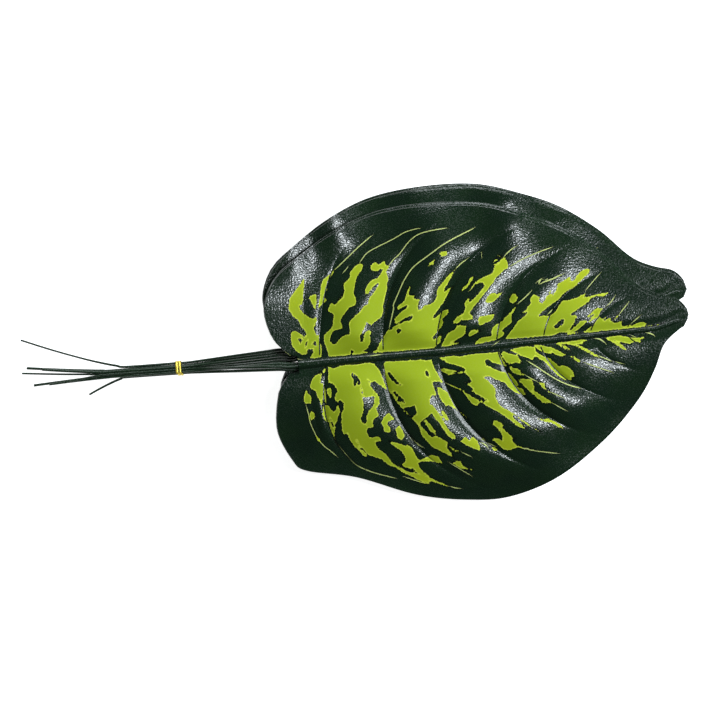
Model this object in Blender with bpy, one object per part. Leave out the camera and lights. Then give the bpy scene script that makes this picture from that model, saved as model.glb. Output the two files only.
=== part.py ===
"""A bunch of eight artificial caladium leaves, lying flat.

Each leaf is a moulded blade with a coated wire stem glued in the groove under its midrib. The blades come
from one mould and lie in a stack, in two groups that are turned a little from each other, and a gold twist
tie holds the stems. +X runs from the cut wire ends to the leaf tips, +Z is up and the bunch rests on Z = 0.
The dimensions are in millimetres, and the meshes are written in metres.
"""

import functools
import math

import bmesh
import bpy
from mathutils import Matrix, Vector
from mathutils.bvhtree import BVHTree

MM = 0.001

# Blade, in its own frame: the midrib runs along +X from the foot of the blade, +Y is its left half.
SHEET = 0.9
RIB_HEIGHT = 1.7
RIB_HALF_WIDTH = 3.2
RIB_TAPER = 0.55
CHANNEL_DEPTH = 1.2
CHANNEL_HALF_WIDTH = 9.0
BLADE_LENGTH = 268.0
TIP_BEND = 3.0
TIP_BEND_FROM = 180.0
HALF_BREADTH = 100.0
ARCH_DROP = 5.0
ARCH_TOP_AT = 105.0
CROWN_DROP = {1: 6.0, -1: 9.0}
EDGE_DROOP = {1: 1.5, -1: 6.0}
DROOP_FROM_MIDRIB = (10.0, 60.0)
BUNCHING = 0.5
SIDE_TILT = 0.037

# The edge of each half, from the notch beside the stem round the lobe to the tip.
EDGE = {
    1: [(-1, 7), (-5, 11), (-12, 21), (-15, 40), (-6, 59), (12, 72), (37, 86), (67, 96), (102, 98),
        (139, 94), (168, 83), (193, 70), (217, 50), (235, 29), (249, 20), (262, 15), (268, 8), (269, 3)],
    -1: [(-3, -7), (-7, -10.5), (-12, -20), (-15, -43), (-7, -64), (2, -72), (35, -80), (74, -96), (107, -103),
         (137, -104), (171, -94), (205, -72), (230, -48), (243, -29), (251, -13), (262, -4), (268, -1), (269, 3)],
}
EDGE_STEPS = 8
VEIN_STEPS = 16

# The side veins: where each leaves the midrib, how far round the edge it points (0 notch, 1 tip), and how
# much of its way forward it makes before it bends.
VEINS = {
    1: [(4.0, 0.0, 0.3), (6.0, 0.1, 0.1), (10.0, 0.242, 0.1), (19.0, 0.375, 0.1), (62.0, 0.543, 0.05),
        (98.0, 0.66, 0.12), (139.0, 0.755, 0.14), (171.0, 0.83, 0.16), (203.0, 0.9, 0.2), (228.0, 0.947, 0.25),
        (268.0, 1.0, 0.3)],
    -1: [(4.0, 0.0, 0.3), (6.0, 0.113, 0.1), (10.0, 0.257, -0.1), (22.0, 0.423, -0.3), (61.0, 0.551, 0.0),
         (98.0, 0.641, 0.08), (139.0, 0.744, 0.14), (168.0, 0.823, 0.16), (203.0, 0.884, 0.2),
         (228.0, 0.926, 0.25), (268.0, 1.0, 0.3)],
}
VEIN_RISE = 0.73
# How far each panel between two veins swells above them, from the notch to the tip.
SWELL = {
    1: [1.6, 2.2, 3.4, 5.2, 5.4, 4.8, 3.8, 3.0, 1.8, 1.0],
    -1: [1.6, 2.2, 3.6, 5.0, 5.2, 5.0, 4.4, 3.2, 2.0, 1.0],
}
FOLD_WIDTH = 13.0
SWELL_FROM_MIDRIB = 18.0
SWELL_AT_EDGE = 0.55
EDGE_ZONE = 45.0
# How many strips each panel is cut into, from the notch to the tip.
STRIPS = (3, 3, 4, 3, 3, 2, 2, 2, 2, 3)
RIB_ROWS = (0.45, 1.0, 1.75)
PANEL_ROWS = (0.14, 0.34, 0.57, 0.79, 1.0)

# The leaves from the top of the stack down: turn in degrees, and the blade foot's place (x, y).
LEAVES = [
    (6.2, (0.0, 0.0)),
    (6.35, (0.6, 1.7)),
    (6.3, (-0.4, 0.4)),
    (8.9, (0.8, 7.0)),
    (9.15, (0.6, 8.3)),
    (8.9, (1.4, 7.2)),
    (9.0, (0.4, 7.9)),
    (9.1, (1.0, 7.1)),
]
AIR_GAP = 0.35
LIFT_STEP = 0.05
REST_FLAT = 3.2

# Stems.
WIRE_RADIUS = 0.7
GLUE_GAP = 0.3
GROOVE_STOPS = (170, 145, 120, 95, 70, 45, 22, 6, -1)
TIE_AT = (-76.4, -1.7)
BUNDLE_TURN = 4.1
BUNDLE_Z = 6.6
PITCH = 1.75
ROW_RISE = 1.52
PARTING = 1.25
# For each leaf: its place in the tied bundle (columns across, row up), then the cut end's
# distance along the bundle from the tie, its offset across it, its height, and where it leaves the bundle.
STEMS = [
    ((-0.5, 1), (-76.0, -3.8, 5.4), -50.0),
    ((-1.5, 1), (-88.0, -6.2, 3.2), -44.0),
    ((-2.0, 0), (-61.0, -13.5, 1.6), -37.0),
    ((0.5, 1), (-92.0, 5.9, 3.4), -50.0),
    ((2.0, 0), (-106.5, 25.5, 2.5), -36.0),
    ((1.0, 0), (-102.0, 7.6, 0.8), -46.0),
    ((0.0, 0), (-106.0, 4.1, 0.7), -56.0),
    ((-1.0, 0), (-97.5, -4.6, 0.7), -46.0),
]

# Twist tie.
TIE_RADIUS = 0.55
TIE_GAP = 0.4
TIE_PITCH = 1.7
TIE_TURNS = 2
TIE_STEPS = 18
TWIST_RADIUS = 0.64
TWIST_LENGTH = 11.0
TWIST_TURNS = 1.5
TWIST_STEPS = 9
TWIST_BELOW = 0.7
TWIST_FROM_TIE = 4.0

LEAF_GREEN = (0.012, 0.035, 0.020, 1.0)
STEM_GREEN = (0.020, 0.060, 0.028, 1.0)
TIE_GOLD = (0.75, 0.52, 0.05, 1.0)


def clear_scene():
    for thing in list(bpy.data.objects):
        bpy.data.objects.remove(thing, do_unlink=True)


def material(name, colour, roughness, metallic=0.0):
    made = bpy.data.materials.new(name)
    made.use_nodes = True
    shader = made.node_tree.nodes["Principled BSDF"]
    shader.inputs["Base Color"].default_value = colour
    shader.inputs["Roughness"].default_value = roughness
    shader.inputs["Metallic"].default_value = metallic
    return made


def mix(a, b, share):
    return a + (b - a) * share


def smooth(low, high, value):
    share = min(max((value - low) / (high - low), 0.0), 1.0)
    return share * share * (3 - 2 * share)


def spline(points, steps):
    """Points read from a Catmull-Rom curve through the given ones."""
    ends = [points[0]] + list(points) + [points[-1]]
    read = []
    for before, start, end, after in zip(ends, ends[1:], ends[2:], ends[3:]):
        for step in range(steps):
            t = step / steps
            read.append(tuple(
                0.5 * (2 * b + (c - a) * t + (2 * a - 5 * b + 4 * c - d) * t**2 + (3 * b - a - 3 * c + d) * t**3)
                for a, b, c, d in zip(before, start, end, after)
            ))
    read.append(tuple(points[-1]))
    return read


def travelled(line):
    """The share of the line's length that lies before each of its points."""
    sums = [0.0]
    for start, end in zip(line, line[1:]):
        sums.append(sums[-1] + math.dist(start, end))
    return [value / sums[-1] for value in sums]


STATIONS = [panel + step / strips for panel, strips in enumerate(STRIPS) for step in range(strips)]
EDGE_LINE = {side: spline(points, EDGE_STEPS) for side, points in EDGE.items()}
EDGE_SHARE = {side: travelled(line) for side, line in EDGE_LINE.items()}


def edge_point(side, share):
    line, shares = EDGE_LINE[side], EDGE_SHARE[side]
    for index in range(len(line) - 1):
        if share <= shares[index + 1]:
            part = (share - shares[index]) / (shares[index + 1] - shares[index])
            return tuple(mix(a, b, part) for a, b in zip(line[index], line[index + 1]))
    return line[-1]


def rib_scale(x):
    return mix(1.0, RIB_TAPER, min(max(x / BLADE_LENGTH, 0.0), 1.0))


def vein_at(side, station):
    """The midrib foot and the edge point of a line that runs out with the veins. Whole stations are veins."""
    index = min(int(station), len(VEINS[side]) - 2)
    part = station - index
    foot, share, lean = (mix(a, b, part) for a, b in zip(VEINS[side][index], VEINS[side][index + 1]))
    return foot, edge_point(side, share), lean


def midrib_y(x):
    """The midrib bends a little towards the left half at the tip."""
    return TIP_BEND * smooth(TIP_BEND_FROM, BLADE_LENGTH, x)


def panel_point(side, station, share):
    """A point of the blade, share of the way from the channel beside the midrib to the edge."""
    foot, (edge_x, edge_y), lean = vein_at(side, station)
    start_x = foot
    start_y = midrib_y(foot) + side * RIB_ROWS[-1] * RIB_HALF_WIDTH * rib_scale(foot)
    bend_x = foot + lean * (edge_x - foot)
    bend_y = start_y + VEIN_RISE * (edge_y - start_y)
    a, b, c = (1 - share) ** 2, 2 * share * (1 - share), share**2
    return a * start_x + b * bend_x + c * edge_x, a * start_y + b * bend_y + c * edge_y


VEIN_LINES = {
    side: [
        [Vector(panel_point(side, station, step / VEIN_STEPS)) for step in range(VEIN_STEPS + 1)]
        for station in range(len(veins))
    ]
    for side, veins in VEINS.items()
}
EDGE_VECTORS = {side: [Vector(point) for point in line[::2]] for side, line in EDGE_LINE.items()}


def off_line(spot, line):
    """The distance from a point to a line of points."""
    nearest = math.inf
    for start, end in zip(line, line[1:]):
        run = end - start
        share = min(max((spot - start).dot(run) / run.length_squared, 0.0), 1.0)
        nearest = min(nearest, (spot - start - run * share).length)
    return nearest


@functools.lru_cache(maxsize=None)
def relief(side, x, y, panel):
    """The moulded relief: a panel swells between two veins, folds down sharply to them, and droops at the edge."""
    spot = Vector((x, y))
    folds = 1.0
    for vein in (panel, panel + 1):
        folds *= math.sin(math.pi / 2 * min(off_line(spot, VEIN_LINES[side][vein]) / FOLD_WIDTH, 1.0))
    off_rib = abs(y - midrib_y(x))
    at_edge = 1 - smooth(0.0, EDGE_ZONE, off_line(spot, EDGE_VECTORS[side]))
    swell = SWELL[side][panel] * folds * mix(1.0, SWELL_AT_EDGE, at_edge)
    swell *= smooth(RIB_HALF_WIDTH, SWELL_FROM_MIDRIB, off_rib)
    return swell - EDGE_DROOP[side] * at_edge**2 * smooth(*DROOP_FROM_MIDRIB, abs(y))


def blade_height(side, x, y, panel, level):
    """Height of the blade's upper face. The stack's upper leaves drape further down at their edges."""
    height = relief(side, x, y, panel)
    height -= (CROWN_DROP[side] + BUNCHING * level) * (abs(y) / HALF_BREADTH) ** 2
    height -= SIDE_TILT * y
    height -= ARCH_DROP * ((x - ARCH_TOP_AT) / (BLADE_LENGTH - ARCH_TOP_AT)) ** 2
    off_rib = abs(y - midrib_y(x))
    half_width = RIB_HALF_WIDTH * rib_scale(x)
    height -= CHANNEL_DEPTH * (1 - smooth(half_width, CHANNEL_HALF_WIDTH, off_rib))
    height += RIB_HEIGHT * rib_scale(x) * max(0.0, 1 - (off_rib / half_width) ** 2)
    return height


def rib_height(x, level):
    panel = min(panel for panel, vein in enumerate(VEINS[1][1:]) if x <= vein[0])
    return blade_height(1, x, midrib_y(x), panel, level)


def blade_rows(side, station):
    """The blade's points along one line from the midrib to the edge."""
    foot = vein_at(side, station)[0]
    rows = [(foot, midrib_y(foot))]
    for row in RIB_ROWS:
        offset = row * RIB_HALF_WIDTH * rib_scale(foot)
        rows.append((foot, midrib_y(foot) + side * offset))
    return rows + [panel_point(side, station, share) for share in PANEL_ROWS]


def blade_sheet(level, floor=None):
    """The upper face of one blade as a triangulated bmesh, pressed flat where it would sink through the floor."""
    sheet = bmesh.new()

    def corner(side, x, y, panel):
        height = blade_height(side, x, y, panel, level)
        return sheet.verts.new((x * MM, y * MM, (height if floor is None else max(height, floor)) * MM))

    tip = corner(1, *EDGE[1][-1], len(STRIPS) - 1)
    midrib = {station: corner(1, *blade_rows(1, station)[0], int(station)) for station in STATIONS}
    for side in (1, -1):
        lines = [
            [midrib[station]] + [corner(side, x, y, int(station)) for x, y in blade_rows(side, station)[1:]]
            for station in STATIONS
        ]
        lines.append([tip] * len(lines[0]))
        for first, second in zip(lines, lines[1:]):
            for a, b, c, d in zip(first, second, second[1:], first[1:]):
                if c == tip:
                    split = [(a, tip, d)]
                elif (a.co - c.co).length < (b.co - d.co).length:
                    split = [(a, b, c), (a, c, d)]
                else:
                    split = [(a, b, d), (b, c, d)]
                for corners in split:
                    sheet.faces.new(corners if side == 1 else corners[::-1])
    sheet.normal_update()
    return sheet


def turned(point, turn, place):
    """A point of a leaf's own frame, in millimetres, where the bunch has it."""
    angle = math.radians(turn)
    x, y = point
    return (place[0] + x * math.cos(angle) - y * math.sin(angle),
            place[1] + x * math.sin(angle) + y * math.cos(angle))


def placement(turn, place, height=0.0):
    return Matrix.Translation(Vector((*place, height)) * MM) @ Matrix.Rotation(math.radians(turn), 4, "Z")


def clearance(upper, lower):
    """The least height between two sheets, over the corners of both."""
    trees = [BVHTree.FromBMesh(sheet) for sheet in (upper, lower)]
    least = math.inf
    for corners, tree, way in ((upper.verts, trees[1], 1), (lower.verts, trees[0], -1)):
        for corner in corners:
            start = Vector((corner.co.x, corner.co.y, -1.0))
            hit = tree.ray_cast(start, Vector((0, 0, 1)))[0]
            if hit is not None:
                least = min(least, way * (corner.co.z - hit.z))
    return least / MM


def wire_guard(level):
    """A narrow strip under the midrib as low as the wire glued there, for stacking."""
    strip = bmesh.new()
    last = None
    for step in range(VEIN_STEPS + 1):
        x = mix(VEINS[1][0][0], GROOVE_STOPS[0], step / VEIN_STEPS)
        y = midrib_y(x)
        height = rib_height(x, level) - GLUE_GAP - 2 * WIRE_RADIUS
        pair = [strip.verts.new((x * MM, (y + off) * MM, height * MM)) for off in (-WIRE_RADIUS, WIRE_RADIUS)]
        if last:
            strip.faces.new((last[0], pair[0], pair[1]))
            strip.faces.new((last[0], pair[1], last[1]))
        last = pair
    return strip


def stack_heights():
    """How high each leaf's frame lies, from the top leaf down, with the lowest spot of the lowest leaf at 0."""
    heights = [0.0] * len(LEAVES)
    below = None
    for index in reversed(range(len(LEAVES))):
        level = len(LEAVES) - 1 - index
        sheet, guard = blade_sheet(level), wire_guard(level)
        for each in (sheet, guard):
            each.transform(placement(*LEAVES[index]))
        if below is None:
            lowest = min(corner.co.z for corner in sheet.verts) / MM
            heights[index] = SHEET - lowest - REST_FLAT
            sheet.free()
            sheet = blade_sheet(level, SHEET - heights[index])
            sheet.transform(placement(*LEAVES[index]))
        else:
            short = min(clearance(sheet, below), clearance(guard, below))
            heights[index] = math.ceil((AIR_GAP + SHEET - short) / LIFT_STEP) * LIFT_STEP
        for each in (sheet, guard):
            each.transform(Matrix.Translation((0, 0, heights[index] * MM)))
        guard.free()
        below = sheet
    return heights


def make_blade(number, index, height, leaf_material):
    level = len(LEAVES) - 1 - index
    floor = SHEET - height if level == 0 else None
    sheet = blade_sheet(level, floor)
    grown = bmesh.ops.extrude_face_region(sheet, geom=sheet.faces[:])["geom"]
    lower = [part for part in grown if isinstance(part, bmesh.types.BMVert)]
    bmesh.ops.translate(sheet, verts=lower, vec=(0, 0, -SHEET * MM))
    bmesh.ops.recalc_face_normals(sheet, faces=sheet.faces[:])
    mesh = bpy.data.meshes.new(f"blade_{number}")
    sheet.to_mesh(mesh)
    sheet.free()
    mesh.materials.append(leaf_material)
    mesh.shade_smooth()
    mesh.set_sharp_from_angle(angle=math.radians(50))
    blade = bpy.data.objects.new(f"blade_{number}", mesh)
    blade.matrix_world = placement(*LEAVES[index], height)
    bpy.context.scene.collection.objects.link(blade)
    return blade


def bundle_point(along, across, up):
    """A point given along the tied bundle, across it and up from its lower row."""
    angle = math.radians(BUNDLE_TURN)
    return (TIE_AT[0] + along * math.cos(angle) - across * math.sin(angle),
            TIE_AT[1] + along * math.sin(angle) + across * math.cos(angle),
            BUNDLE_Z + up)


def slot_offset(slot):
    return slot[0] * PITCH, slot[1] * ROW_RISE


def stem_points(index, height):
    """The wire's centre line: along the groove, out at the notch, through the tie and on to the cut end."""
    level = len(LEAVES) - 1 - index
    turn, place = LEAVES[index]
    slot, end, leaves_at = STEMS[index]
    drop = SHEET + GLUE_GAP + WIRE_RADIUS

    def in_groove(x):
        z = height + rib_height(max(x, 0.0), level) - drop
        return (*turned((x, midrib_y(x)), turn, place), z)

    points = [in_groove(x) for x in GROOVE_STOPS]
    across, up = slot_offset(slot)
    start, held = in_groove(-4.0), bundle_point(6.0, across, up)
    for step in range(7):
        share = step / 6
        points.append((mix(start[0], held[0], share), mix(start[1], held[1], smooth(0.0, 0.75, share)),
                       mix(start[2], held[2], smooth(0.15, 1.0, share))))
    end_along, end_across, end_z = end
    parting = [mix(leaves_at, end_along, share) for share in (0.0, 0.1, 0.22, 0.4, 0.7, 1.0)]
    for along in (-5.0, *parting):
        off = mix(across, end_across, max(0.0, (along - leaves_at) / (end_along - leaves_at)) ** PARTING)
        points.append(bundle_point(along, off, mix(up, end_z - BUNDLE_Z, (along + 5.0) / (end_along + 5.0))))
    return points


def make_tube(name, points, radius, tube_material):
    curve = bpy.data.curves.new(name, "CURVE")
    curve.dimensions = "3D"
    curve.bevel_depth = radius * MM
    curve.bevel_resolution = 1
    curve.use_fill_caps = True
    line = curve.splines.new("POLY")
    line.points.add(len(points) - 1)
    for spot, point in zip(line.points, points):
        spot.co = (*[value * MM for value in point], 1.0)
    curve.materials.append(tube_material)
    tube = bpy.data.objects.new(name, curve)
    bpy.context.scene.collection.objects.link(tube)
    return tube


def round_the_bundle(angle):
    """Where the tie's centre line passes round the stems, at this angle about the bundle."""
    reach = WIRE_RADIUS + TIE_GAP + TIE_RADIUS
    way = (math.cos(angle), math.sin(angle))
    centres = [slot_offset(slot) for slot, _, _ in STEMS]
    far = max(centres, key=lambda centre: centre[0] * way[0] + centre[1] * way[1])
    return far[0] + reach * way[0], far[1] + reach * way[1]


def tie_points():
    """Two turns round the stems, with both ends brought under them and twisted together."""
    low = round_the_bundle(-math.pi / 2)[1] - 2 * TIE_RADIUS - TWIST_BELOW
    start = -TIE_PITCH - TWIST_FROM_TIE

    def strand(phase):
        turns = [step / TWIST_STEPS for step in range(int(TWIST_TURNS * TWIST_STEPS) + 1)]
        return [(start - TWIST_LENGTH * turn / TWIST_TURNS,
                 TWIST_RADIUS * math.cos(2 * math.pi * turn + phase),
                 low + TWIST_RADIUS * math.sin(2 * math.pi * turn + phase)) for turn in turns]

    loops = []
    for step in range(1, TIE_TURNS * TIE_STEPS):
        turn = step / TIE_STEPS
        across, up = round_the_bundle(-math.pi / 2 + 2 * math.pi * turn)
        loops.append((mix(-TIE_PITCH, TIE_PITCH, turn / TIE_TURNS), across, up))
    first, last = strand(math.pi)[::-1], strand(0.0)
    lead_in = [(-TIE_PITCH - 2.0, -1.6, low + 0.5)]
    lead_out = [(TIE_PITCH + 1.3, 0.2, low + 0.9), (TIE_PITCH + 0.6, 1.5, low + 0.05), (-TIE_PITCH, 1.5, low - 0.1)]
    return [bundle_point(*spot) for spot in first + lead_in + loops + lead_out + last]


def rest_on_origin():
    """Moves everything so that the middle of the bunch's lowest plane is the origin."""
    bpy.context.view_layer.update()
    graph = bpy.context.evaluated_depsgraph_get()
    low, high = Vector((math.inf,) * 3), Vector((-math.inf,) * 3)
    for thing in bpy.data.objects:
        seen = thing.evaluated_get(graph)
        mesh = seen.to_mesh()
        for corner in mesh.vertices:
            spot = seen.matrix_world @ corner.co
            low = Vector(map(min, low, spot))
            high = Vector(map(max, high, spot))
        seen.to_mesh_clear()
    shift = Vector((-(low.x + high.x) / 2, -(low.y + high.y) / 2, -low.z))
    for thing in bpy.data.objects:
        thing.location += shift


def main():
    clear_scene()
    leaf = material("leaf_plastic", LEAF_GREEN, 0.4)
    coating = material("stem_coating", STEM_GREEN, 0.35)
    gold = material("tie_gold", TIE_GOLD, 0.3, 0.6)
    heights = stack_heights()
    for index, height in enumerate(heights):
        number = index + 1
        make_blade(number, index, height, leaf)
        make_tube(f"stem_{number}", stem_points(index, height), WIRE_RADIUS, coating)
    make_tube("twist_tie", tie_points(), TIE_RADIUS, gold)
    rest_on_origin()


main()
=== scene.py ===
# %% [markdown]
# A tied bunch of eight artificial caladium leaves, seen from straight above.
# Every leaf comes from one mould and carries one print: dark green plastic with lime splashes that run out
# along the side veins. The wires are coated in dark green, and a gold twist tie holds them together.
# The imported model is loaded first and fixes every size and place.

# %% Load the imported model
import math

import bpy
import numpy as np
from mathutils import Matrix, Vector
from mathutils.bvhtree import BVHTree


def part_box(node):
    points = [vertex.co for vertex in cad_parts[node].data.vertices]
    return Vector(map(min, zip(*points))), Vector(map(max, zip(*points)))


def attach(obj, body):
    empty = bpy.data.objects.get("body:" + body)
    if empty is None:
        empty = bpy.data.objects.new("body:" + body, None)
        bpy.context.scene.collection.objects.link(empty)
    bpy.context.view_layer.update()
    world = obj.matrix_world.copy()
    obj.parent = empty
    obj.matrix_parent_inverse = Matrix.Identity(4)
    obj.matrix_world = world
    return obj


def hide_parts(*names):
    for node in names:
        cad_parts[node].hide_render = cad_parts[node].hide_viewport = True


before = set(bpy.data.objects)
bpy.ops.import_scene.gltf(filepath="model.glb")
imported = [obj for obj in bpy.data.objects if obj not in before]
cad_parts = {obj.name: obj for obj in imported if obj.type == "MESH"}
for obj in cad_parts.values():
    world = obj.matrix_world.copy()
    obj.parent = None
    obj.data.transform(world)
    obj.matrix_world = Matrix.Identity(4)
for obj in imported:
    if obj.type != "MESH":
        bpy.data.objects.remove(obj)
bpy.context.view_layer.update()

# %% [markdown]
# The picture is taken from straight above with a long lens, so the stack shows almost no perspective.
# The main light is a soft box high above the tips. It puts a sheen on each slope that leans towards the tips
# and leaves the slopes on the stem side black, which is what shows the quilted relief. Two weaker boxes, low
# on the tip side and behind, draw thin bright lines along the rims.

# %% Camera
MM = 0.001
VIEW_WIDTH = 486.5 * MM
VIEW_CENTRE = Vector((4.05, -12.5, 30.0)) * MM
LENS = 900.0

bpy.ops.object.select_all(action="DESELECT")
bpy.ops.object.camera_add()
camera = bpy.context.object
camera.name = "camera_above"
camera.data.lens = LENS
camera.data.clip_end = 50
distance = VIEW_WIDTH * LENS / camera.data.sensor_width
camera.location = VIEW_CENTRE + Vector((0, 0, distance))
bpy.context.scene.camera = camera
print("camera height in metres:", round(camera.location.z, 2))

# %% Light
LAMP_TINT = (0.90, 0.96, 1.0)
STUDIO_GLOW = 0.055


def soft_box(name, place, width, height, watts):
    """A rectangular light that faces the middle of the leaves."""
    bpy.ops.object.light_add(type="AREA", location=place)
    lamp = bpy.context.object
    lamp.name = name
    lamp.data.shape = "RECTANGLE"
    lamp.data.size, lamp.data.size_y = width, height
    lamp.data.energy = watts
    lamp.data.color = LAMP_TINT
    lamp.rotation_mode = "QUATERNION"
    lamp.rotation_quaternion = (VIEW_CENTRE - lamp.location).to_track_quat("-Z", "Y")
    return lamp


soft_box("key_light", (1.75, 0.37, 5.20), 1.0, 1.0, 122)
soft_box("side_light", (1.60, 0.75, 0.94), 0.9, 0.9, 34)
soft_box("back_light", (0.10, 1.60, 0.95), 1.4, 0.4, 14)
world = bpy.data.worlds.new("studio")
bpy.context.scene.world = world
world.use_nodes = True
world.node_tree.nodes["Background"].inputs["Color"].default_value = (0.93, 0.96, 1.0, 1.0)
world.node_tree.nodes["Background"].inputs["Strength"].default_value = STUDIO_GLOW
bpy.context.scene.view_settings.view_transform = "Standard"

# %% [markdown]
# A finish is a small network of shader nodes. So that it reads like ordinary sums, a class wraps a node's
# output and gives it Python's operators: an expression such as 1 - mask adds the Math node it needs.
# Every other node comes from one method that takes the node's type, its settings and its inputs.

# %% Shader helpers
class Signal:
    """One output of a shader node, used like a number."""

    def __init__(self, finish, socket):
        self.finish, self.socket = finish, socket

    def sum(self, operation, *others):
        values = dict(enumerate((self, *others)))
        return self.finish.node("ShaderNodeMath", {"operation": operation}, values)

    def __add__(self, other):
        return self.sum("ADD", other)

    def __sub__(self, other):
        return self.sum("SUBTRACT", other)

    def __mul__(self, other):
        return self.sum("MULTIPLY", other)

    def __rsub__(self, other):
        return self.finish.node("ShaderNodeMath", {"operation": "SUBTRACT"}, {0: other, 1: self})

    __radd__ = __add__
    __rmul__ = __mul__

    def ramp(self, low, high):
        """0 below low and 1 above high, with a smooth rise between them. low may be the higher of the two."""
        settings = {"interpolation_type": "SMOOTHSTEP"}
        if low < high:
            values = {"Value": self, "From Min": low, "From Max": high}
        else:
            values = {"Value": self, "From Min": high, "From Max": low, "To Min": 1.0, "To Max": 0.0}
        return self.finish.node("ShaderNodeMapRange", settings, values)


class Finish:
    """A material and its nodes."""

    def __init__(self, name):
        self.material = bpy.data.materials.new(name)
        self.material.use_nodes = True
        self.tree = self.material.node_tree
        self.shader = self.tree.nodes["Principled BSDF"]

    def feed(self, socket, value):
        if isinstance(value, Signal):
            self.tree.links.new(value.socket, socket)
        else:
            socket.default_value = value

    def node(self, kind, settings, values, output=0):
        made = self.tree.nodes.new(kind)
        for name, value in settings.items():
            setattr(made, name, value)
        for name, value in values.items():
            self.feed(made.inputs[name], value)
        return Signal(self, made.outputs[output])

    def set(self, **values):
        for name, value in values.items():
            self.feed(self.shader.inputs[name.replace("_", " ")], value)

    def place(self):
        return self.node("ShaderNodeTexCoord", {}, {}, "Object")

    def attribute(self, name):
        return self.node("ShaderNodeAttribute", {"attribute_name": name}, {}, "Fac")

    def noise(self, per_metre, detail=2.0, vector=None, roughness=0.5):
        vector = self.place() if vector is None else vector
        values = {"Vector": vector, "Scale": per_metre, "Detail": detail, "Roughness": roughness}
        return self.node("ShaderNodeTexNoise", {}, values)

    def blend(self, share, first, second):
        """One colour turning into another as share goes from 0 to 1."""
        values = {0: share, 6: first, 7: second}
        return self.node("ShaderNodeMix", {"data_type": "RGBA"}, values, 2)

    def bump(self, height, depth, strength=1.0):
        values = {"Height": height, "Distance": depth, "Strength": strength}
        return self.node("ShaderNodeBump", {}, values)


# %% [markdown]
# The floor is a plain pale sheet. It glows, as a light table does, so that the stack casts hardly a shadow
# and the dark leaf edges stand out clearly.

# %% Floor
FLOOR_SIDE = 12.0

bpy.ops.object.select_all(action="DESELECT")
bpy.ops.mesh.primitive_plane_add(size=FLOOR_SIDE, location=(0, 0, 0))
floor = bpy.context.object
floor.name = "floor"
paper = Finish("pale_paper")
tone = paper.noise(3.0).ramp(0.2, 0.8)
paper.set(Base_Color=paper.blend(tone, (0.86, 0.86, 0.86, 1), (0.88, 0.88, 0.88, 1)), Roughness=0.9)
paper.set(Emission_Color=(1.0, 1.0, 1.0, 1.0), Emission_Strength=0.92)
floor.data.materials.append(paper.material)

# %% [markdown]
# A blade is one moulded sheet. Its plan is drawn as the source draws it: an edge line for each half, and side
# veins that leave the midrib and bend towards the edge. A point of the sheet is named by two numbers, its
# station (0 at the notch, 10 at the tip, and whole numbers on the veins) and its share of the way from the
# midrib to the edge. The same two numbers later lay the print along the veins.

# %% The plan of a blade, in millimetres, with the midrib along +X
EDGE = {
    1: [(-1, 7), (-5, 11), (-12, 21), (-15, 40), (-6, 59), (12, 72), (37, 86), (67, 96), (102, 98),
        (139, 94), (168, 83), (193, 70), (217, 50), (235, 29), (249, 20), (262, 15), (268, 8), (269, 3)],
    -1: [(-3, -7), (-7, -10.5), (-12, -20), (-15, -43), (-7, -64), (2, -72), (35, -80), (74, -96), (107, -103),
         (137, -104), (171, -94), (205, -72), (230, -48), (243, -29), (251, -13), (262, -4), (268, -1), (269, 3)],
}
# Where each vein leaves the midrib, the share of the edge that it points at, and its lean.
VEINS = {
    1: [(4, 0, 0.3), (6, 0.1, 0.1), (10, 0.242, 0.1), (19, 0.375, 0.1), (62, 0.543, 0.05), (98, 0.66, 0.12),
        (139, 0.755, 0.14), (171, 0.83, 0.16), (203, 0.9, 0.2), (228, 0.947, 0.25), (268, 1, 0.3)],
    -1: [(4, 0, 0.3), (6, 0.113, 0.1), (10, 0.257, -0.1), (22, 0.423, -0.3), (61, 0.551, 0), (98, 0.641, 0.08),
         (139, 0.744, 0.14), (168, 0.823, 0.16), (203, 0.884, 0.2), (228, 0.926, 0.25), (268, 1, 0.3)],
}
VEIN_RISE = 0.73
BLADE_LENGTH = 268.0
RIB_HALF_WIDTH = 3.2
RIB_TAPER = 0.55
RIB_ROOM = 1.75
TIP = (269.0, 3.0)
LAST_STATION = 9.8
TIP_STATION = 10.0


def smooth(low, high, value):
    share = np.clip((value - low) / (high - low), 0, 1)
    return share * share * (3 - 2 * share)


def spline(points, steps=8):
    """A Catmull-Rom curve through the points."""
    ends = np.array([points[0], *points, points[-1]], float)
    read = []
    for a, b, c, d in zip(ends, ends[1:], ends[2:], ends[3:]):
        for t in np.arange(steps) / steps:
            read.append(0.5 * (2 * b + (c - a) * t + (2 * a - 5 * b + 4 * c - d) * t**2
                               + (3 * b - a - 3 * c + d) * t**3))
    return np.array([*read, ends[-1]])


EDGE_LINE = {side: spline(points) for side, points in EDGE.items()}
EDGE_SHARE = {}
for side, line in EDGE_LINE.items():
    run = np.concatenate([[0], np.cumsum(np.linalg.norm(np.diff(line, axis=0), axis=1))])
    EDGE_SHARE[side] = run / run[-1]


def midrib_y(x):
    return 4.5 * smooth(244.0, BLADE_LENGTH, x) - 1.5 * smooth(20.0, 110.0, x)


def rib_half_width(x):
    return RIB_HALF_WIDTH * (1 + (RIB_TAPER - 1) * np.clip(x / BLADE_LENGTH, 0, 1))


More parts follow.
